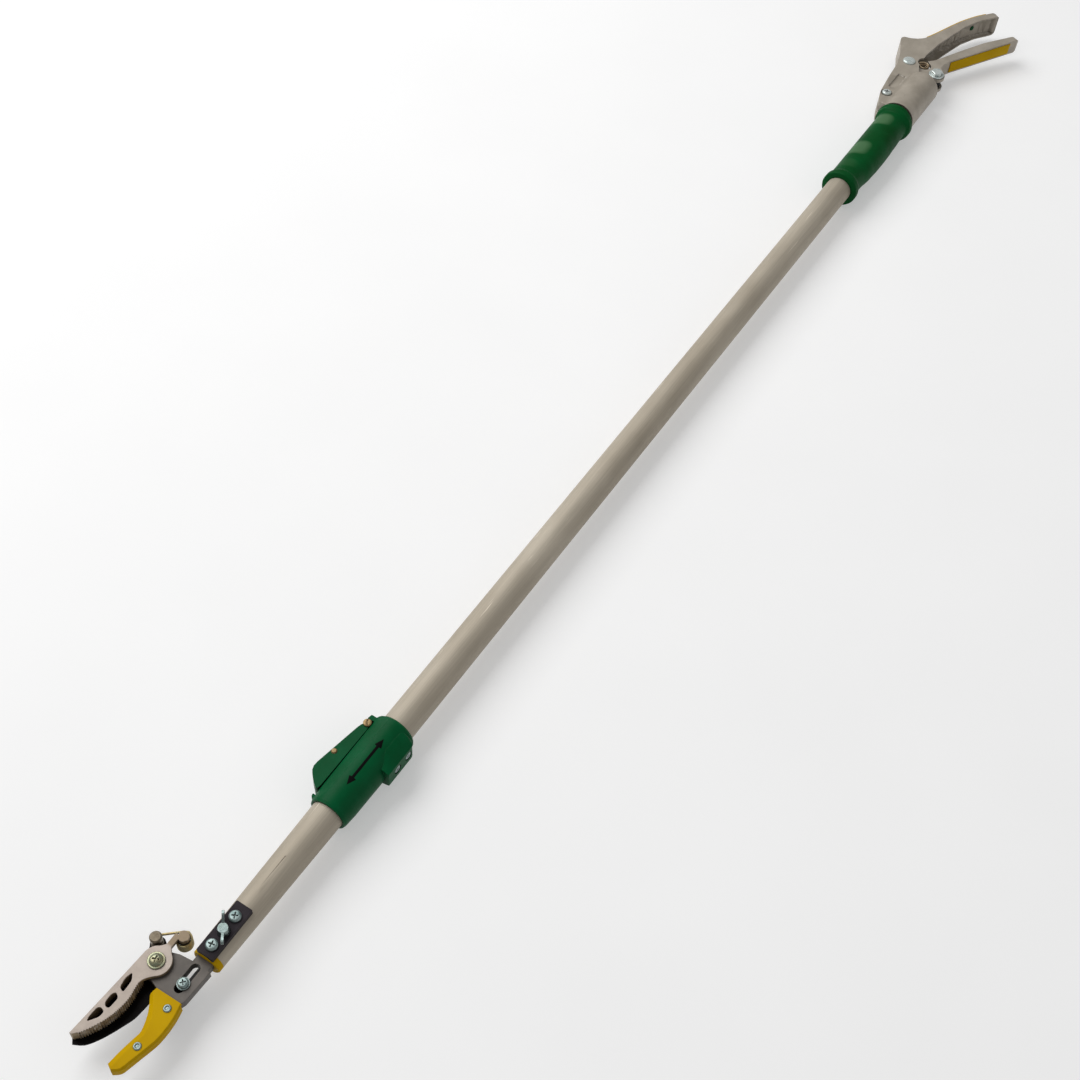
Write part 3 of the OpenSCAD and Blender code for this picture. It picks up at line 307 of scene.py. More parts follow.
def plated(name, stops, rough, edge_colour, metal=0.6):
    """Plated steel: tints that wander over the surface, a fine grain, painted shade in recesses, edges made paler by
    wear and by painted highlight.
    """
    s = Surface(name, metal=metal)
    grain = s.noise(2600, detail=2)
    base = s.ramp(s.noise(170, detail=3), [(at, linear(c)) for at, c in stops])
    # Painted shade: darker colour where ambient occlusion finds a recess
    corner_shaded = s.mix(s.corners(0.0022), base, shade(stops[0][1], 0.3))
    # Every edge is made paler with no noise: partly wear, partly painted highlight
    s.colour(s.mix(s.edges(0.0003), corner_shaded, linear(edge_colour)))
    s.rough(grain, rough)
    s.relief([(grain, 0.08, 0.0001)], 0.00025)
    return s.material


def black_coat(name, dark, light):
    """Black coated steel with grey rubbed edges and a ground bevel that shows the steel."""
    s = Surface(name, metal=0.2, specular=0.07)
    grind = s.noise(1800, (1, 0.15, 1), 3, (0, 0, 0.5))
    base = s.tones(s.noise(70, detail=5), dark, light, 0.75)
    up = s.normal_z()
    slope = s.product(s.level(up, -0.96, -0.9), s.level(up, -0.1, -0.3))
    ground = s.mix(slope, base, s.tones(grind, (70, 66, 63), (120, 115, 110)))
    rub = s.product(s.edges(0.0004), s.level(s.noise(300), 0.48, 0.66))
    s.colour(s.mix(rub, ground, linear((92, 86, 82))))
    s.rough(grind, (0.38, 0.54))
    s.relief([(grind, 0.05, 0.0001)], 0.0003)
    return s.material


# Tints of the plated finishes: place on the ramp and sRGB colour
ZINC = [(0.3, (186, 200, 197)), (0.5, (222, 229, 226)), (0.7, (204, 214, 208))]
SCREW_ZINC = [(0.3, (104, 124, 122)), (0.5, (156, 172, 170)), (0.7, (132, 150, 144))]
WING = [(0.3, (88, 104, 102)), (0.5, (134, 148, 146)), (0.7, (112, 128, 122))]
GOLD = [(0.28, (112, 104, 78)), (0.45, (164, 160, 128)), (0.6, (140, 148, 124)), (0.75, (152, 134, 106))]
PIN_GOLD = [(0.28, (150, 124, 76)), (0.45, (196, 176, 124)), (0.6, (176, 168, 126)), (0.75, (186, 152, 116))]
LOCK_BRASS = [(0.3, (112, 86, 56)), (0.5, (164, 140, 96)), (0.7, (138, 102, 74))]
BRASS = [(0.3, (190, 150, 74)), (0.7, (214, 180, 104))]
SPRING = [(0.3, (144, 120, 92)), (0.7, (204, 184, 154))]
POST_STEEL = [(0.3, (92, 82, 66)), (0.7, (142, 130, 110))]
# Painted sheen patches on the grip's -Y side, toward the key lamp: from X, to X, strength
GRIP_SHEEN = ((-0.514, -0.491, 1.0), (-0.457, -0.430, 1.0), (-0.421, -0.405, 0.2))
SHEEN_GREEN = (74, 114, 76)
FINISH = {
    "tube_aluminium": drawn_tube("drawn_aluminium", dark=(184, 173, 155), light=(206, 196, 179)),
    "rod_steel": drawn_tube("drawn_steel", dark=(160, 160, 160), light=(190, 190, 190), rough=(0.26, 0.4), metal=0.9),
    "green_rubber": moulded("grip_rubber", dark=(0, 68, 22), light=(0, 86, 38), edge_colour=(30, 100, 56),
                            rough=(0.44, 0.6), grain=1300, bump=0.2, specular=0.09, sheen_patches=(GRIP_SHEEN, SHEEN_GREEN)),
    "green_plastic": moulded("sleeve_plastic", dark=(0, 78, 40), light=(0, 92, 52), edge_colour=(58, 112, 80),
                             rough=(0.36, 0.5), grain=700, bump=0.06, specular=0.09),
    "yellow_plastic": moulded("yellow_plastic", dark=(200, 157, 0), light=(214, 172, 0), edge_colour=(222, 190, 50),
                              rough=(0.44, 0.6), grain=800, bump=0.08, specular=0.06),
    "nylon": moulded("guide_nylon", dark=(214, 208, 188), light=(232, 227, 210), edge_colour=(240, 238, 230),
                     rough=(0.4, 0.55), grain=700, bump=0.06),
    # The handle's painted corner shade reaches 18 mm, which darkens its channel
    "handle_cast": cast("handle_casting", dark=(166, 157, 143), light=(190, 181, 167), edge_colour=(208, 201, 190),
                        rough=(0.4, 0.56), deep=0.018),
    "head_cast": cast("head_casting", dark=(88, 83, 78), light=(110, 104, 98), edge_colour=(160, 154, 146),
                      rough=(0.38, 0.54)),
    "hold_cast": cast("hold_casting", dark=(172, 159, 148), light=(196, 183, 171), edge_colour=(216, 207, 198),
                      rough=(0.36, 0.52), side=(158, 138, 108), tail=((150, 132, 108), 0.609)),
    "zinc_steel": plated("bright_zinc", ZINC, rough=(0.2, 0.32), edge_colour=(236, 240, 238), metal=0.4),
    "screw_zinc": plated("screw_zinc", SCREW_ZINC, rough=(0.26, 0.4), edge_colour=(204, 214, 210), metal=0.7),
    "yellow_zinc": plated("yellow_zinc", GOLD, rough=(0.2, 0.34), edge_colour=(200, 192, 152), metal=0.7),
    "wing_chrome": plated("wing_chrome", WING, rough=(0.2, 0.32), edge_colour=(204, 212, 208), metal=0.86),
    "pin_gold": plated("pin_gold", PIN_GOLD, rough=(0.24, 0.38), edge_colour=(214, 196, 150)),
    "lock_brass": plated("lock_brass", LOCK_BRASS, rough=(0.3, 0.44), edge_colour=(190, 170, 124)),
    "spring_steel": plated("spring_steel", SPRING, rough=(0.24, 0.38), edge_colour=(214, 200, 176)),
    "brass": plated("turned_brass", BRASS, rough=(0.24, 0.38), edge_colour=(232, 208, 140)),
    "black_steel": black_coat("black_coat", dark=(6, 4, 4), light=(16, 13, 13)),
    "saw_plate": black_coat("saw_plate_coat", dark=(40, 36, 40), light=(58, 53, 57)),
    "post": plated("post_steel", POST_STEEL, rough=(0.3, 0.44), edge_colour=(170, 160, 142)),
    "print": moulded("black_print", dark=(3, 3, 3), light=(8, 8, 8), edge_colour=(14, 18, 14),
                     rough=(0.55, 0.66), grain=900, bump=0.04, specular=0.08),
}
# Nodes whose finish differs from their material slot's
OWN_FINISH = {"saw_plate": "saw_plate", "spring_post": "post",
              "wing_screw": "wing_chrome", "lever_stud": "lock_brass"}
slot_of = {part["node"]: part["material_slot"] for part in frame["record"]["subparts"]}


def dress(obj, finish):
    obj.data.materials.clear()
    obj.data.materials.append(FINISH[finish])


for node_name, node_obj in nodes.items():
    dress(node_obj, OWN_FINISH.get(node_name, slot_of[node_name]))


def solid(name, verts, faces):
    """A closed mesh object from millimetre coordinates, with its normals outward."""
    mesh = bpy.data.meshes.new(name)
    mesh.from_pydata([Vector(v) / 1000 for v in verts], [], faces)
    mesh.validate()
    b = bmesh.new()
    b.from_mesh(mesh)
    bmesh.ops.remove_doubles(b, verts=b.verts, dist=1e-7)
    bmesh.ops.recalc_face_normals(b, faces=b.faces)
    b.to_mesh(mesh)
    b.free()
    return linked(name, mesh)


def loft(name, rings, closed=False):
    """A solid through rings of as many points each: with its ends capped, or closed back on its first ring."""
    n, count = len(rings[0]), len(rings)
    verts = [p for ring in rings for p in ring]
    faces = []
    for i in range(count if closed else count - 1):
        j = (i + 1) % count
        for k in range(n):
            m = (k + 1) % n
            faces.append((i * n + k, i * n + m, j * n + m, j * n + k))
    if not closed:
        faces += [tuple(range(n)), tuple(range(len(verts) - n, len(verts)))]
    return solid(name, verts, faces)


def finish_piece(obj, slot, body, replaced=None, finish=None, sharp=40):
    """Smooth shading up to an angle, the finish, the body to ride on, and the CAD node that is replaced."""
    for p in obj.data.polygons:
        p.use_smooth = True
    obj.data.set_sharp_from_angle(angle=math.radians(sharp))
    dress(obj, finish or slot)
    if body:
        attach(obj, body)
    if replaced:
        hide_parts(replaced)


def joined(name, parts):
    """One object from several, their meshes kept as they are."""
    b = bmesh.new()
    for part in parts:
        b.from_mesh(part.data)
        bpy.data.objects.remove(part)
    mesh = bpy.data.meshes.new(name)
    b.to_mesh(mesh)
    b.free()
    return linked(name, mesh)


def apply_tool(obj):
    """Gives obj the mesh that its modifier makes."""
    bpy.context.view_layer.update()
    graph = bpy.context.evaluated_depsgraph_get()
    mesh = bpy.data.meshes.new_from_object(obj.evaluated_get(graph))
    obj.modifiers.clear()
    obj.data = mesh


def cut_out(obj, cutter, way="DIFFERENCE"):
    """Takes the cutter out of obj, or joins it to obj."""
    tool = obj.modifiers.new("cut", "BOOLEAN")
    tool.operation = way
    tool.solver = "EXACT"
    tool.object = cutter
    apply_tool(obj)
    bpy.data.objects.remove(cutter)


def area_normals(obj):
    """Normals weighted by the faces' areas, so that the slivers of a cut don't show."""
    tool = obj.modifiers.new("normals", "WEIGHTED_NORMAL")
    tool.keep_sharp = True
    apply_tool(obj)


def cad_copy(name, node):
    """A copy of a CAD node's mesh, closed up so that it can be cut."""
    mesh = nodes[node].data.copy()
    mesh.transform(nodes[node].matrix_world)
    b = bmesh.new()
    b.from_mesh(mesh)
    bmesh.ops.remove_doubles(b, verts=b.verts, dist=2e-6)
    bmesh.ops.recalc_face_normals(b, faces=b.faces)
    b.to_mesh(mesh)
    b.free()
    return linked(name, mesh)


def eased(t):
    """0 to 1 with a soft start and end."""
    t = min(1.0, max(0.0, t))
    return t * t * (3 - 2 * t)


def quarter(steps):
    """Angles of a quarter turn."""
    return [math.pi / 2 * i / steps for i in range(steps + 1)]


def ring_point(centre, r, degrees, z):
    a = math.radians(degrees)
    return Vector((centre[0] + r * math.cos(a), centre[1] + r * math.sin(a), z))


def arc(centre, r, start, end, steps):
    """Points of an arc in XY between two angles in degrees."""
    return [ring_point(centre, r, start + (end - start) * i / steps, 0).xy for i in range(steps + 1)]


def coil(centre, r, start, turns, z0, pitch, steps=8):
    """Points of a coil about Z."""
    return [ring_point(centre, r, start + 360 * i / steps, z0 + pitch * i / steps) for i in range(turns * steps + 1)]


def smooth_path(points, steps=6):
    """Catmull-Rom curve through the points."""
    out = []
    for i in range(len(points) - 1):
        a, b = points[max(i - 1, 0)], points[i]
        c, d = points[i + 1], points[min(i + 2, len(points) - 1)]
        for k in range(steps):
            t = k / steps
            out.append(0.5 * (2 * b + (c - a) * t + (2 * a - 5 * b + 4 * c - d) * t ** 2
                              + (3 * b - a - 3 * c + d) * t ** 3))
    return out + [points[-1]]


def wire(name, points, r, sides=14):
    """Round wire along a smooth path, closed at each end."""
    path = smooth_path(points)
    n = len(path)
    verts, faces = [], []
    normal = None
    for i, p in enumerate(path):
        t = (path[min(i + 1, n - 1)] - path[max(i - 1, 0)]).normalized()
        if normal is None:
            normal = t.orthogonal().normalized()
        normal = (normal - t * normal.dot(t)).normalized()
        across = t.cross(normal)
        for k in range(sides):
            a = 2 * math.pi * k / sides
            verts.append(p + r * (math.cos(a) * normal + math.sin(a) * across))
    for i in range(n - 1):
        for k in range(sides):
            m = (k + 1) % sides
            faces.append((i * sides + k, (i + 1) * sides + k, (i + 1) * sides + m, i * sides + m))
    for end, ring in ((path[0], 0), (path[-1], (n - 1) * sides)):
        verts.append(end)
        faces += [(ring + k, ring + (k + 1) % sides, len(verts) - 1) for k in range(sides)]
    return solid(name, verts, faces)


def about(place, x, y, h, along):
    """Point at h along a line through place, which runs along Z or Y, and at x and y from it."""
    return (place[0] + x, h, place[1] + y) if along == "Y" else (place[0] + x, place[1] + y, h)


def lathe(name, profile, place, steps=40, along="Z", sides=None):
    """Turned solid from (radius, height) points about a line along Z or Y through place.
    With sides it is a polygon of so many sides instead of round."""
    rings = []
    for r, h in profile:
        ring = []
        for k in range(steps):
            a = 2 * math.pi * k / steps
            reach = r
            if sides:
                wedge = 2 * math.pi / sides
                reach = r * math.cos(wedge / 2) / math.cos((a % wedge) - wedge / 2)
            ring.append(about(place, reach * math.cos(a), reach * math.sin(a), h, along))
        rings.append(ring)
    return loft(name, rings)


# How far a driver's slot narrows to its floor
SLOT_TAPER = 0.72
# Radius of the small flat that closes a turned solid at its axis
CORE = 0.05
# Pan head: the radius inside its shoulder and the height below it, as shares
PAN_INNER, PAN_WALL = 0.65, 0.35


def bar(reach, half, place, top, deep, turn, along):
    """Tapered bar that cuts a driver's slot into a head, from over its top to deep under it."""
    c, s = math.cos(turn), math.sin(turn)
    corners = ((-reach, -half), (reach, -half), (reach, half), (-reach, half))
    rings = []
    for h, k in ((top + 1, 1.0), (top - deep, SLOT_TAPER)):
        rings.append([about(place, (u * c - v * s) * k, (u * s + v * c) * k, h, along) for u, v in corners])
    return loft("slot", rings)


def pan(r, low, high):
    """Profile of a pan head from its seat to its top, with a rounded shoulder."""
    inner = r * PAN_INNER
    wall = low + PAN_WALL * (high - low)
    soft = [(inner + (r - inner) * math.cos(a), wall + (high - wall) * math.sin(a)) for a in quarter(6)]
    crest = high + 0.02
    return [(r - 0.2, low), (r, low + 0.15)] + soft + [(inner / 2, crest), (CORE, crest)]


def screw(name, shank, head, place, turn, cross=True, along="Z", reach=0.62, deep=0.6, slot=0.13):
    """Screw from its shank's and its head's profile, with a cross or a slot in the head.
    reach and slot are shares of the head's radius, deep is a share of its height."""
    obj = lathe(name, shank + head, place, along=along)
    top = head[-1][1]
    tall = top - head[0][1]
    r = max(p[0] for p in head)
    for k in range(2 if cross else 1):
        cut_out(obj, bar(reach * r, slot * r, place, top, deep * tall, turn + math.pi / 2 * k, along))
    return obj


def prism(outline, z0, z1):
    """Straight solid along Z from an outline in XY."""
    return loft("prism", [[(*p, z) for p in outline] for z in (z0, z1)])


def tip_corner(origin, way, end, half, r, side):
    """What is cut from a handle's tip to round it across its width, on one side.
    The tip ends at end along way from origin, and its half width is half. The cutter reaches well past both."""
    across = Vector((-way.y, way.x))
    past, over, deep = end + 6, half + 4, 60
    outline = [(end - r + r * math.sin(a), half - r + r * math.cos(a)) for a in quarter(10)]
    outline += [(past, half - r), (past, over), (end - r, over)]
    rings = [[(*(origin + s * way + lift * across), side * z) for s, z in outline] for lift in (-deep, deep)]
    return loft("tip_corner", rings)


# Points and heights of the CAD model
PIVOT = Vector((621.0, -25.0))
POST = PIVOT + Vector((-12.0, -11.0))
PIN = PIVOT + 24 * Vector((math.sin(math.radians(4)), math.cos(math.radians(4))))
RIVET = Vector((-622.0, -26.5))
BOLT = RIVET + Vector((0.0, 33.6))
LOCK = Vector((397.0, -18.2))
CLAMP = Vector((-553.0, -23.0))
LEVER_LEAN = Matrix.Rotation(math.radians(-1.5), 2)
BODY_Z0, BODY_Z1 = -1.8, 5.0
BLADE_Z0 = -5.1
STRAP_Z0 = -7.9
HOLD_Z0, HOLD_Z1 = 5.3, 8.3
SAW_TOP = 13.0
PAD_SEAT = 17.9

# Hold spring: a tang in the boss, four turns under the hold plate's tail, a hook round the blade's post
HOLD_WIRE, HOLD_TURNS = 1.8, 4
COIL_AT = PIVOT + Vector((-22.5, 3.6))
hold_pitch = HOLD_WIRE + 0.55
hold_top = HOLD_Z0 - 0.3 - HOLD_WIRE / 2
hold_low = hold_top - HOLD_TURNS * hold_pitch
hold_path = [Vector((*COIL_AT, hold_low))] + coil(COIL_AT, 5, 215, HOLD_TURNS, hold_low, hold_pitch)
hold_path += [ring_point(POST, 3.4, a, hold_top) for a in (212, 236, 260, 284, 308)]
hold_coil = wire("hold_coil", hold_path, HOLD_WIRE / 2)
finish_piece(hold_coil, "yellow_zinc", None, "hold_spring", "pin_gold")
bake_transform(hold_coil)

# Lever's return spring beside the rivet, up to its window
RETURN_WIRE, RETURN_TURNS = 1.9, 6
return_at = RIVET + LEVER_LEAN @ Vector((-9.0, 15.5))
wound = coil(return_at, 4.7, 200, RETURN_TURNS, -3.4, RETURN_WIRE + 0.1)
return_path = [wound[0] + Vector((-3, 7.5, 0)), wound[0] + Vector((-1.4, 3.8, 0))] + wound
return_path += [wound[-1] + Vector((1.6, -3, 0)), wound[-1] + Vector((4, -5.5, 0))]
finish_piece(wire("return_coil", return_path, RETURN_WIRE / 2), "spring_steel", "lever", "return_spring")

# Screws of the saw plate, the clamp and the sleeve, with cross recesses
plate_shank = [(CORE, BODY_Z0), (2.4, BODY_Z0), (2.4, SAW_TOP)]
plate_head = pan(4.4, SAW_TOP, SAW_TOP + 2.6)
plate_screws = [screw("plate_screw", plate_shank, plate_head, (x, 0.0), turn)
                for x, turn in ((570.0, 0.5), (594.0, 0.2))]
finish_piece(joined("plate_screw_heads", plate_screws), "zinc_steel", "extension", "plate_screws", "screw_zinc")
clamp_shank = [(CORE, -16.6), (2.1, -16.6), (2.5, -16.2), (2.5, 11.0)]
clamp = screw("clamp_head", clamp_shank, pan(5.0, 11.0, 13.8), CLAMP, 0.3)
clamp_hex = [(2.5, -16.0), (4.3, -16.0), (4.8, -15.5), (4.8, -12.0), (2.5, -12.0)]
nut = lathe("clamp_nut", clamp_hex, CLAMP, 48, sides=6)
finish_piece(joined("clamp_screw_and_nut", [clamp, nut]), "zinc_steel", "pole", "clamp_screw")
pad_shank = [(CORE, 13.0), (1.6, 13.0), (1.6, PAD_SEAT)]
pad_head = pan(3.6, PAD_SEAT, PAD_SEAT + 2.18)
pad_screws = [screw("sleeve_screw", pad_shank, pad_head, (x, 0.0), turn, along="Y")
              for x, turn in ((399.0, 0.4), (412.4, 0.9))]
finish_piece(joined("sleeve_screw_heads", pad_screws), "zinc_steel", "pole", "sleeve_screws", "screw_zinc")

# Pivot bolt: a washer-faced dome with a cross recess; its end stands in the nut behind
dome_z = HOLD_Z1 + 0.3
bolt_end = BLADE_Z0 - 4.6
pivot_shank = [(CORE, bolt_end), (3.6, bolt_end), (4.0, bolt_end + 0.4), (4.0, dome_z)]
dome = [(6.0, dome_z), (6.0, dome_z + 0.55), (5.75, dome_z + 0.8), (4.75, dome_z + 0.85)]
dome += [(4.7 * math.cos(a), dome_z + 0.95 + 2.0 * math.sin(a)) for a in quarter(8)[:-1]] + [(CORE, dome_z + 2.98)]
pivot = screw("pivot_dome", pivot_shank, dome, PIVOT, 0.35, reach=0.5, deep=0.5)
finish_piece(pivot, "yellow_zinc", "extension", "pivot_bolt")

# Blade pin with a washer at each side
pin_z = HOLD_Z0
pin_end = STRAP_Z0 - 1.6
washers = [(CORE, pin_end), (4.3, pin_end), (4.5, pin_end + 0.2), (4.5, STRAP_Z0 - 0.5), (4.3, STRAP_Z0 - 0.3)]
washers += [(2.5, STRAP_Z0 - 0.3), (2.5, pin_z)]
washers += [(4.3, pin_z), (4.5, pin_z + 0.2), (4.5, pin_z + 0.8), (4.3, pin_z + 1.0)]
pin = screw("blade_pin_head", washers, pan(3.7, pin_z + 1.0, pin_z + 3.18), PIN, 0.8)
finish_piece(pin, "zinc_steel", "blade", "blade_pin", "screw_zinc")

# Lock lever's pin, slotted at the front and plain behind
lug = 8.3
lock_shank = [(CORE, -lug - 1.0), (2.7, -lug - 1.0), (3.3, -lug - 0.4), (3.3, -lug), (1.6, -lug), (1.6, lug)]
lock_top = [(3.2, lug), (3.3, lug + 0.15), (3.3, lug + 0.55), (3.0, lug + 0.88), (2.5, lug + 0.98), (CORE, lug + 1.0)]
lock_pin = screw("lock_pin_head", lock_shank, lock_top, LOCK, 0.6, cross=False, reach=0.85, deep=0.85, slot=0.22)
finish_piece(lock_pin, "yellow_zinc", "pole", "lock_pin", "lock_brass")

# Tubular rivets of the hook's cover: a rolled rim round a dimple
cover_z = BODY_Z1 + 1.5
rim = [(2.7, 0), (2.8, 0.25), (2.6, 0.7), (2.2, 0.95), (1.75, 0.98), (1.4, 0.8), (1.15, 0.35), (0.7, 0.3),
       (CORE, 0.45)]
rolled = [(CORE, BODY_Z0), (1.5, BODY_Z0), (1.5, cover_z)] + [(r, cover_z + h) for r, h in rim]
rivets = [lathe("cover_rivet", rolled, PIVOT + Vector(at)) for at in ((20.2, 26.5), (49.3, 27.0))]
finish_piece(joined("cover_rivet_heads", rivets), "zinc_steel", "extension", "cover_rivets", "screw_zinc")

# Lever's rivet: a broad dome at each side of the handle
wall, tall, wide = 12.0, 2.6, 7.0
arch = [(wide * math.cos(a) ** 0.8, wall + 0.5 + (tall - 0.5) * math.sin(a)) for a in quarter(8)[:-1]]
front = [(wide, wall)] + arch + [(CORE, wall + tall)]
behind = [(r, -h) for r, h in reversed(front)]
rivet = lathe("lever_rivet_heads", behind + [(3.0, -wall), (3.0, wall)] + front, RIVET)
finish_piece(rivet, "zinc_steel", "pole", "lever_rivet")

# Rod bolt: chamfered hexagon on a washer
face = 8.3
rod_shank = [(CORE, -face - 4.5), (2.6, -face - 4.5), (3.0, -face - 4.1), (3.0, face)]
rod_shank += [(8.2, face), (8.4, face + 0.2), (8.4, face + 1.0), (8.2, face + 1.2), (CORE, face + 1.2)]
hexagon = [(CORE, face + 1.2), (6.2, face + 1.2), (6.2, face + 4.3), (5.5, face + 4.75), (CORE, face + 4.8)]
bolt = [lathe("rod_bolt_shank", rod_shank, BOLT), lathe("rod_bolt_hex", hexagon, BOLT, 48, sides=6)]
finish_piece(joined("rod_bolt_head", bolt), "zinc_steel", "drive_rod", "rod_bolt", sharp=25)

# Sleeve: fairings from its skin to the screw pad's edges, and webs between its two heel plates.
# Its radius is SLEEVE_R at SLEEVE_MID, and changes by SLEEVE_FALL over the length at each side
SLEEVE_MID, SLEEVE_R, SLEEVE_FALL, SLEEVE_LENGTHS = 428.5, 16.5, 0.4, (40.0, 29.5)
PAD_X, PAD_Y, PAD_Z, PAD_ROUND = (390.3, 423.65), 20.28, 7.5, 6.0
FAIR_COLUMNS, FAIR_POINTS = 40, 12
# The fairing's crown and the width from which it is full, then how far it is drawn in at the pad's front and over
# what length
FAIR_CROWN, FAIR_FULL, FAIR_PULL, FAIR_FADE = 0.5, 8.0, 0.6, 14.0
HEEL_WEB = [(391.3, -14.6), (393.2, -14.6), (393.2, -18.6), (392.8, -19.2), (391.3, -19.2)]


def sleeve_skin(x):
    """Radius of the sleeve's skin, which narrows toward the head."""
    length = SLEEVE_LENGTHS[0] if x < SLEEVE_MID else SLEEVE_LENGTHS[1]
    return SLEEVE_R + (SLEEVE_MID - x) * (SLEEVE_FALL / length)


def fairing(side):
    """A wedge along the pad: tangent to the sleeve, slightly crowned, closed inside the solids."""
    rings = []
    for i in range(FAIR_COLUMNS + 1):
        x = PAD_X[0] + (PAD_X[1] - PAD_X[0]) * (i / FAIR_COLUMNS)
        short = max(0.0, PAD_X[0] + PAD_ROUND - x)
        top = PAD_Y - PAD_ROUND + math.sqrt(PAD_ROUND ** 2 - short ** 2)
        r = sleeve_skin(x)
        far = max(r + 0.01, math.hypot(top, PAD_Z))
        lean = math.atan2(PAD_Z, top)
        pull = FAIR_PULL * eased((x - PAD_X[1] + FAIR_FADE) / FAIR_FADE)
        start = lean + math.acos(r / far) * (1 - pull)
        edge = Vector((far * math.cos(lean), far * math.sin(lean)))
        touch = Vector((r * math.cos(start), r * math.sin(start)))
        crown = FAIR_CROWN * min(1.0, (edge - touch).length / FAIR_FULL)
        skin = []
        for k in range(FAIR_POINTS):
            t = k / (FAIR_POINTS - 1)
            skin.append(touch.lerp(edge, t) + crown * math.sin(math.pi * t) * touch.normalized())
        skin += [edge - Vector((0.6, 1.2)), edge - Vector((5, 1.2)), touch - Vector((0.4, 1.6))]
        rings.append([(x, p.x, side * p.y) for p in skin])
    return loft("pad_fairing", rings)


sleeve_parts = [fairing(1), fairing(-1), prism(HEEL_WEB, 3.5, 5.7), prism(HEEL_WEB, -5.7, -3.5)]
finish_piece(joined("sleeve_fairings", sleeve_parts), "green_plastic", "pole", sharp=50)

# Hold plate with a fillet from its heel to its jaw, and its tail cut back to show the coil
FILLET = [(2.0, -6.0), (16.0, -6.0), (18.5, 0.1), (15.4, 0.9), (13.2, 2.0), (11.4, 3.4), (10.0, 4.7), (8.6, 6.1)]
plate = cad_copy("hold_casting", "hold_plate")
cut_out(plate, prism([PIVOT + Vector(p) for p in FILLET], HOLD_Z0, HOLD_Z1), "UNION")
trim = arc(COIL_AT, 8.0, 70, 266, 16) + arc(COIL_AT, 4.3, 266, 70, 16)
cut_out(plate, prism(trim, HOLD_Z0 - 0.2, HOLD_Z1 + 1))
finish_piece(plate, "hold_cast", "holder", "hold_plate", sharp=28)
for flat_face in plate.data.polygons:
    flat_face.use_smooth = abs(flat_face.normal.z) < 0.99

# Fixed handle with its tip closed and rounded, open over the return spring
TIP_WEB = [(-144.6, 42.0), (-148.0, 44.3), (-148.8, 47.2), (-147.0, 48.7), (-145.6, 47.9), (-144.8, 46.4),
           (-144.5, 44.0)]
HANDLE_WAY = Vector((-0.816, 0.578)).normalized()
HANDLE_END, HANDLE_HALF, HANDLE_ROUND = 151.6, 12.0, 8.5
handle = cad_copy("handle_casting", "handle_body")
cut_out(handle, prism([RIVET + Vector(p) for p in TIP_WEB], -10.4, 10.4), "UNION")
for side in (-1, 1):
    cut_out(handle, tip_corner(RIVET, HANDLE_WAY, HANDLE_END, HANDLE_HALF, HANDLE_ROUND, side))
cut_out(handle, prism(arc(return_at, 8.0, 0, 351, 39), 9.0, 15.0))
finish_piece(handle, "handle_cast", "pole", "handle_body", sharp=28)
area_normals(handle)

# Squeeze lever with a round tip, and its inlay, which ends short of it
LEVER_A, LEVER_B = Vector((-34.0, 35.2)), Vector((-119.0, 78.4))
LEVER_END, LEVER_HALF, LEVER_ROUND = 149.7, 8.0, 6.5
INLAY_HALF = 6.2
lever_way = (LEVER_B - LEVER_A).normalized()
lever_out = Vector((lever_way.y, -lever_way.x))
inlay_start, inlay_end = LEVER_A + 2 * lever_way, LEVER_B - 6.5 * lever_way
plug_end = LEVER_B + 0.4 * lever_way
plug_low, plug_top = -0.9 * lever_out, 0.02 * lever_out
plug = [inlay_end + plug_low, plug_end + plug_low, plug_end + plug_top, inlay_end + plug_top]
lever = cad_copy("lever_casting", "squeeze_lever")
cut_out(lever, prism([RIVET + LEVER_LEAN @ p for p in plug], -6.4, 6.4), "UNION")
for side in (-1, 1):
    cut_out(lever, tip_corner(RIVET, LEVER_LEAN @ lever_way, LEVER_END, LEVER_HALF, LEVER_ROUND, side))
finish_piece(lever, "handle_cast", "lever", "squeeze_lever", sharp=28)
area_normals(lever)
strip = []
for lift, inset in ((-0.8, 0.0), (0.45, 0.0), (0.7, 0.12), (0.8, 0.45)):
    a = RIVET + LEVER_LEAN @ (inlay_start + inset * lever_way + lift * lever_out)
    b = RIVET + LEVER_LEAN @ (inlay_end - inset * lever_way + lift * lever_out)
    half = INLAY_HALF - inset
    strip.append([(*a, -half), (*b, -half), (*b, half), (*a, half)])
finish_piece(loft("lever_inlay", strip), "yellow_plastic", "lever", "lever_insert", sharp=50)

# Grip: a flange at each end and a swell under the fingers. (distance from the pole end, radius) of the round
# form, and of the swell, whose middle lies SWELL toward +Y
GRIP_X0, GRIP_X1, BORE = -387.0, -532.0, 13.02
SWELL, SOFT = 2.4, 0.4
ROUND = [(0, 17.5), (0.6, 18.6), (1.6, 19), (6, 19), (12.5, 16.8), (20, 16.7), (131, 16.8), (134, 19.5), (138, 19.6),
         (138.7, 20.3), (140.6, 20.4), (141.2, 19.8), (141.5, 17.4), (145, 17.4)]
SHIFTED = [(14, 13.5), (43.5, 16.5), (58, 17.1), (72.5, 17.3), (87, 17.1), (101.5, 16.5), (129, 15.4), (134, 18.9),
           (139, 19), (141.5, 14.4)]
AROUND = [2 * math.pi * k / 96 for k in range(96)]


def between(stops, d):
    """Smooth value at d from (place, value) stops; 0 outside them."""
    if not stops[0][0] <= d <= stops[-1][0]:
        return 0.0
    for (a, low), (b, high) in zip(stops, stops[1:]):
        if d <= b:
            return low + (high - low) * eased((d - a) / (b - a))


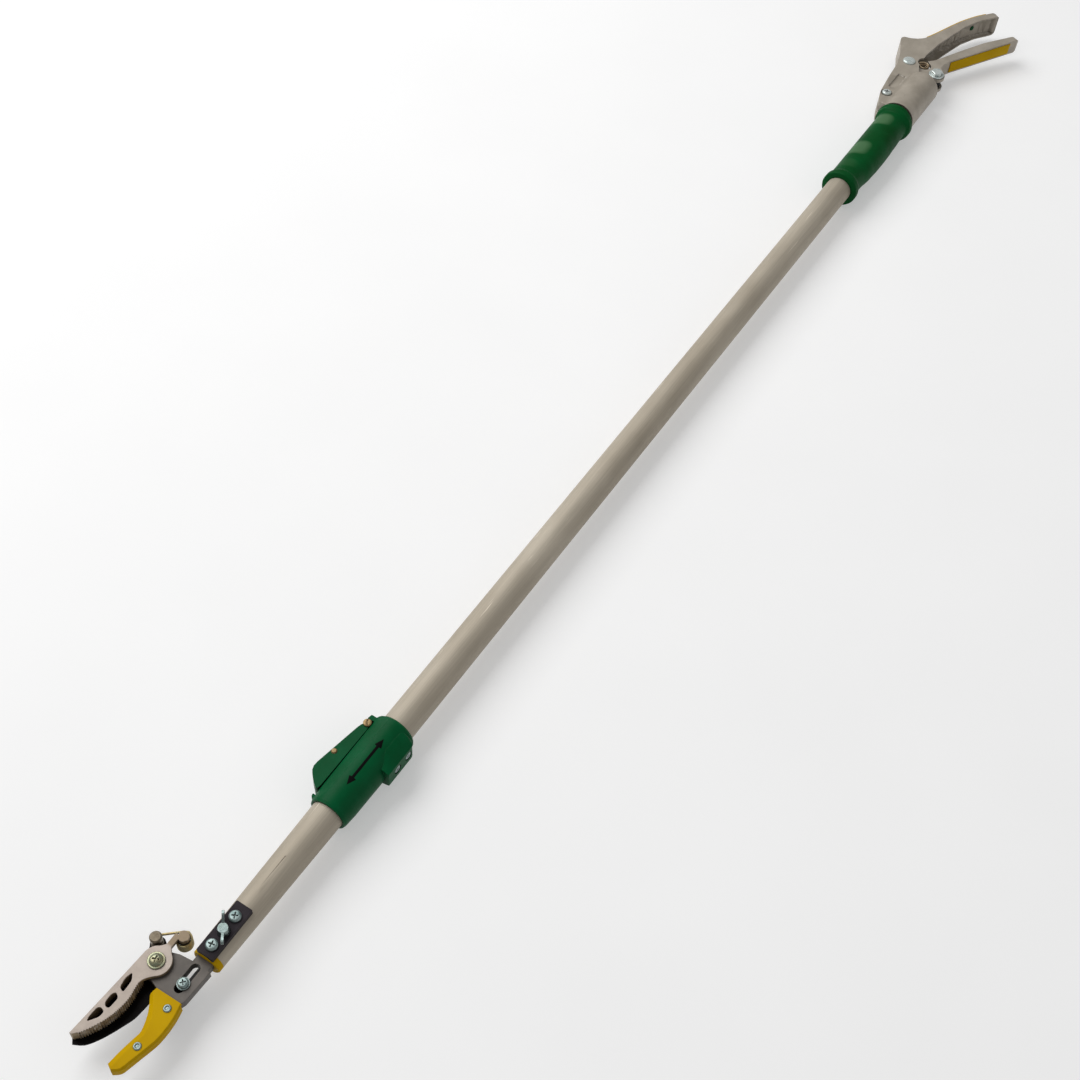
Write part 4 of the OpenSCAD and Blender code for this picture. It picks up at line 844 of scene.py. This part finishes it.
def grip_reach(d, a):
    """Distance of the grip's skin from the pole's axis, at d from its pole end and an angle a from +Y.
    Where the round form and the swell meet, the larger one wins, softened over SOFT."""
    r = between(ROUND, d)
    bulge = between(SHIFTED, d)
    if bulge > 0:
        moved = SWELL * math.cos(a) + math.sqrt(bulge ** 2 - (SWELL * math.sin(a)) ** 2)
        r = 0.5 * (r + moved + math.sqrt((r - moved) ** 2 + SOFT ** 2)) - SOFT / 4
    return r


def around(x, radii):
    """Ring about the pole's axis from a radius at each angle."""
    return [(x, r * math.cos(a), r * math.sin(a)) for a, r in zip(AROUND, radii)]


stations = [0, 0.3, 0.6, 1.0, 1.6] + [1.6 + 141.9 * i / 150 for i in range(1, 151)] + [144.2, 145]
grip = [around(GRIP_X0 - d, [grip_reach(d, a) for a in AROUND]) for d in stations]
grip += [around(x, [BORE] * len(AROUND)) for x in (GRIP_X1, GRIP_X0)]
finish_piece(loft("grip_skin", grip, closed=True), "green_rubber", "pole", "grip", sharp=60)

# Plain double arrow along the sleeve, printed on its skin
TIPS = (405.3, 449.9)
HEAD, HEAD_HALF, SHAFT_HALF, ARROW_TURN = 7.4, 3.1, 1.05, 0.17
ARROW_COLUMNS = 120
PRINT_TOP, PRINT_LOW = 0.05, -0.1


def arrow_half(x):
    """Half the arrow's width at x."""
    end = min(x - TIPS[0], TIPS[1] - x)
    return max(0.02, HEAD_HALF * end / HEAD) if end <= HEAD else SHAFT_HALF


def arrow_row(x, lift):
    """Points across the arrow, over or under the sleeve's skin."""
    r = sleeve_skin(x) + lift
    angles = [ARROW_TURN + arrow_half(x) * (k / 4 - 1) / r for k in range(9)]
    return [(x, r * math.sin(a), r * math.cos(a)) for a in angles]


columns = [TIPS[0] + (TIPS[1] - TIPS[0]) * i / ARROW_COLUMNS for i in range(ARROW_COLUMNS + 1)]
arrow = [arrow_row(x, PRINT_TOP) + arrow_row(x, PRINT_LOW)[::-1] for x in columns]
finish_piece(loft("slide_arrow", arrow), "black_steel", "pole", finish="print")

# Floor: white to the camera and to reflections, and it keeps the shadow
FLOOR_HALF, FLOOR_GAP, FLOOR_GLOW = 6, 0.0015, 0.34
floor_z = cad_box[0][2] - FLOOR_GAP
floor_mesh = bpy.data.meshes.new("floor")
floor_corners = [(x * FLOOR_HALF, y * FLOOR_HALF, floor_z) for x, y in ((-1, -1), (1, -1), (1, 1), (-1, 1))]
floor_mesh.from_pydata(floor_corners, [], [(0, 1, 2, 3)])
floor = linked("floor", floor_mesh)
paper = Surface("paper", specular=0.1)
paper.colour(paper.ramp(paper.noise(6), [(NOISE_LOW, (0.70, 0.70, 0.70, 1)), (NOISE_HIGH, (0.72, 0.72, 0.72, 1))]))
paper.shader.inputs["Roughness"].default_value = 0.9
rays = paper.node("ShaderNodeLightPath").outputs
seen = paper.combine(rays["Is Camera Ray"], rays["Is Glossy Ray"], "MAXIMUM")
paper.shader.inputs["Emission Color"].default_value = (1, 1, 1, 1)
paper.link(paper.level(seen, 0, 1, 0, FLOOR_GLOW), paper.shader.inputs["Emission Strength"])
floor_mesh.materials.append(paper.material)

# Soft studio light from the upper left, in front of a white backdrop
WORLD_LIGHT, BACKDROP = 0.28, 0.95
world = bpy.data.worlds.new("studio")
world.use_nodes = True
sky = world.node_tree.nodes["Background"]
sky.inputs[0].default_value = (1, 1, 1, 1)
sky_rays = world.node_tree.nodes.new("ShaderNodeLightPath")
strength = world.node_tree.nodes.new("ShaderNodeMapRange")
strength.inputs["To Min"].default_value = WORLD_LIGHT
strength.inputs["To Max"].default_value = BACKDROP
world.node_tree.links.new(sky_rays.outputs["Is Camera Ray"], strength.inputs["Value"])
world.node_tree.links.new(strength.outputs[0], sky.inputs[1])
scene.world = world


def area(name, place, size, energy):
    """Soft lamp that faces the origin."""
    lamp = bpy.data.lights.new(name, "AREA")
    lamp.shape = "RECTANGLE"
    lamp.size, lamp.size_y = size
    lamp.energy = energy
    obj = linked(name, lamp)
    obj.location = place
    obj.rotation_euler = (-Vector(place)).to_track_quat("-Z", "Y").to_euler()


area("key", (-0.1, -1.7, 2.0), (2.8, 2.0), 56)
area("fill", (-0.3, 2.0, 1.2), (2.4, 1.2), 3)
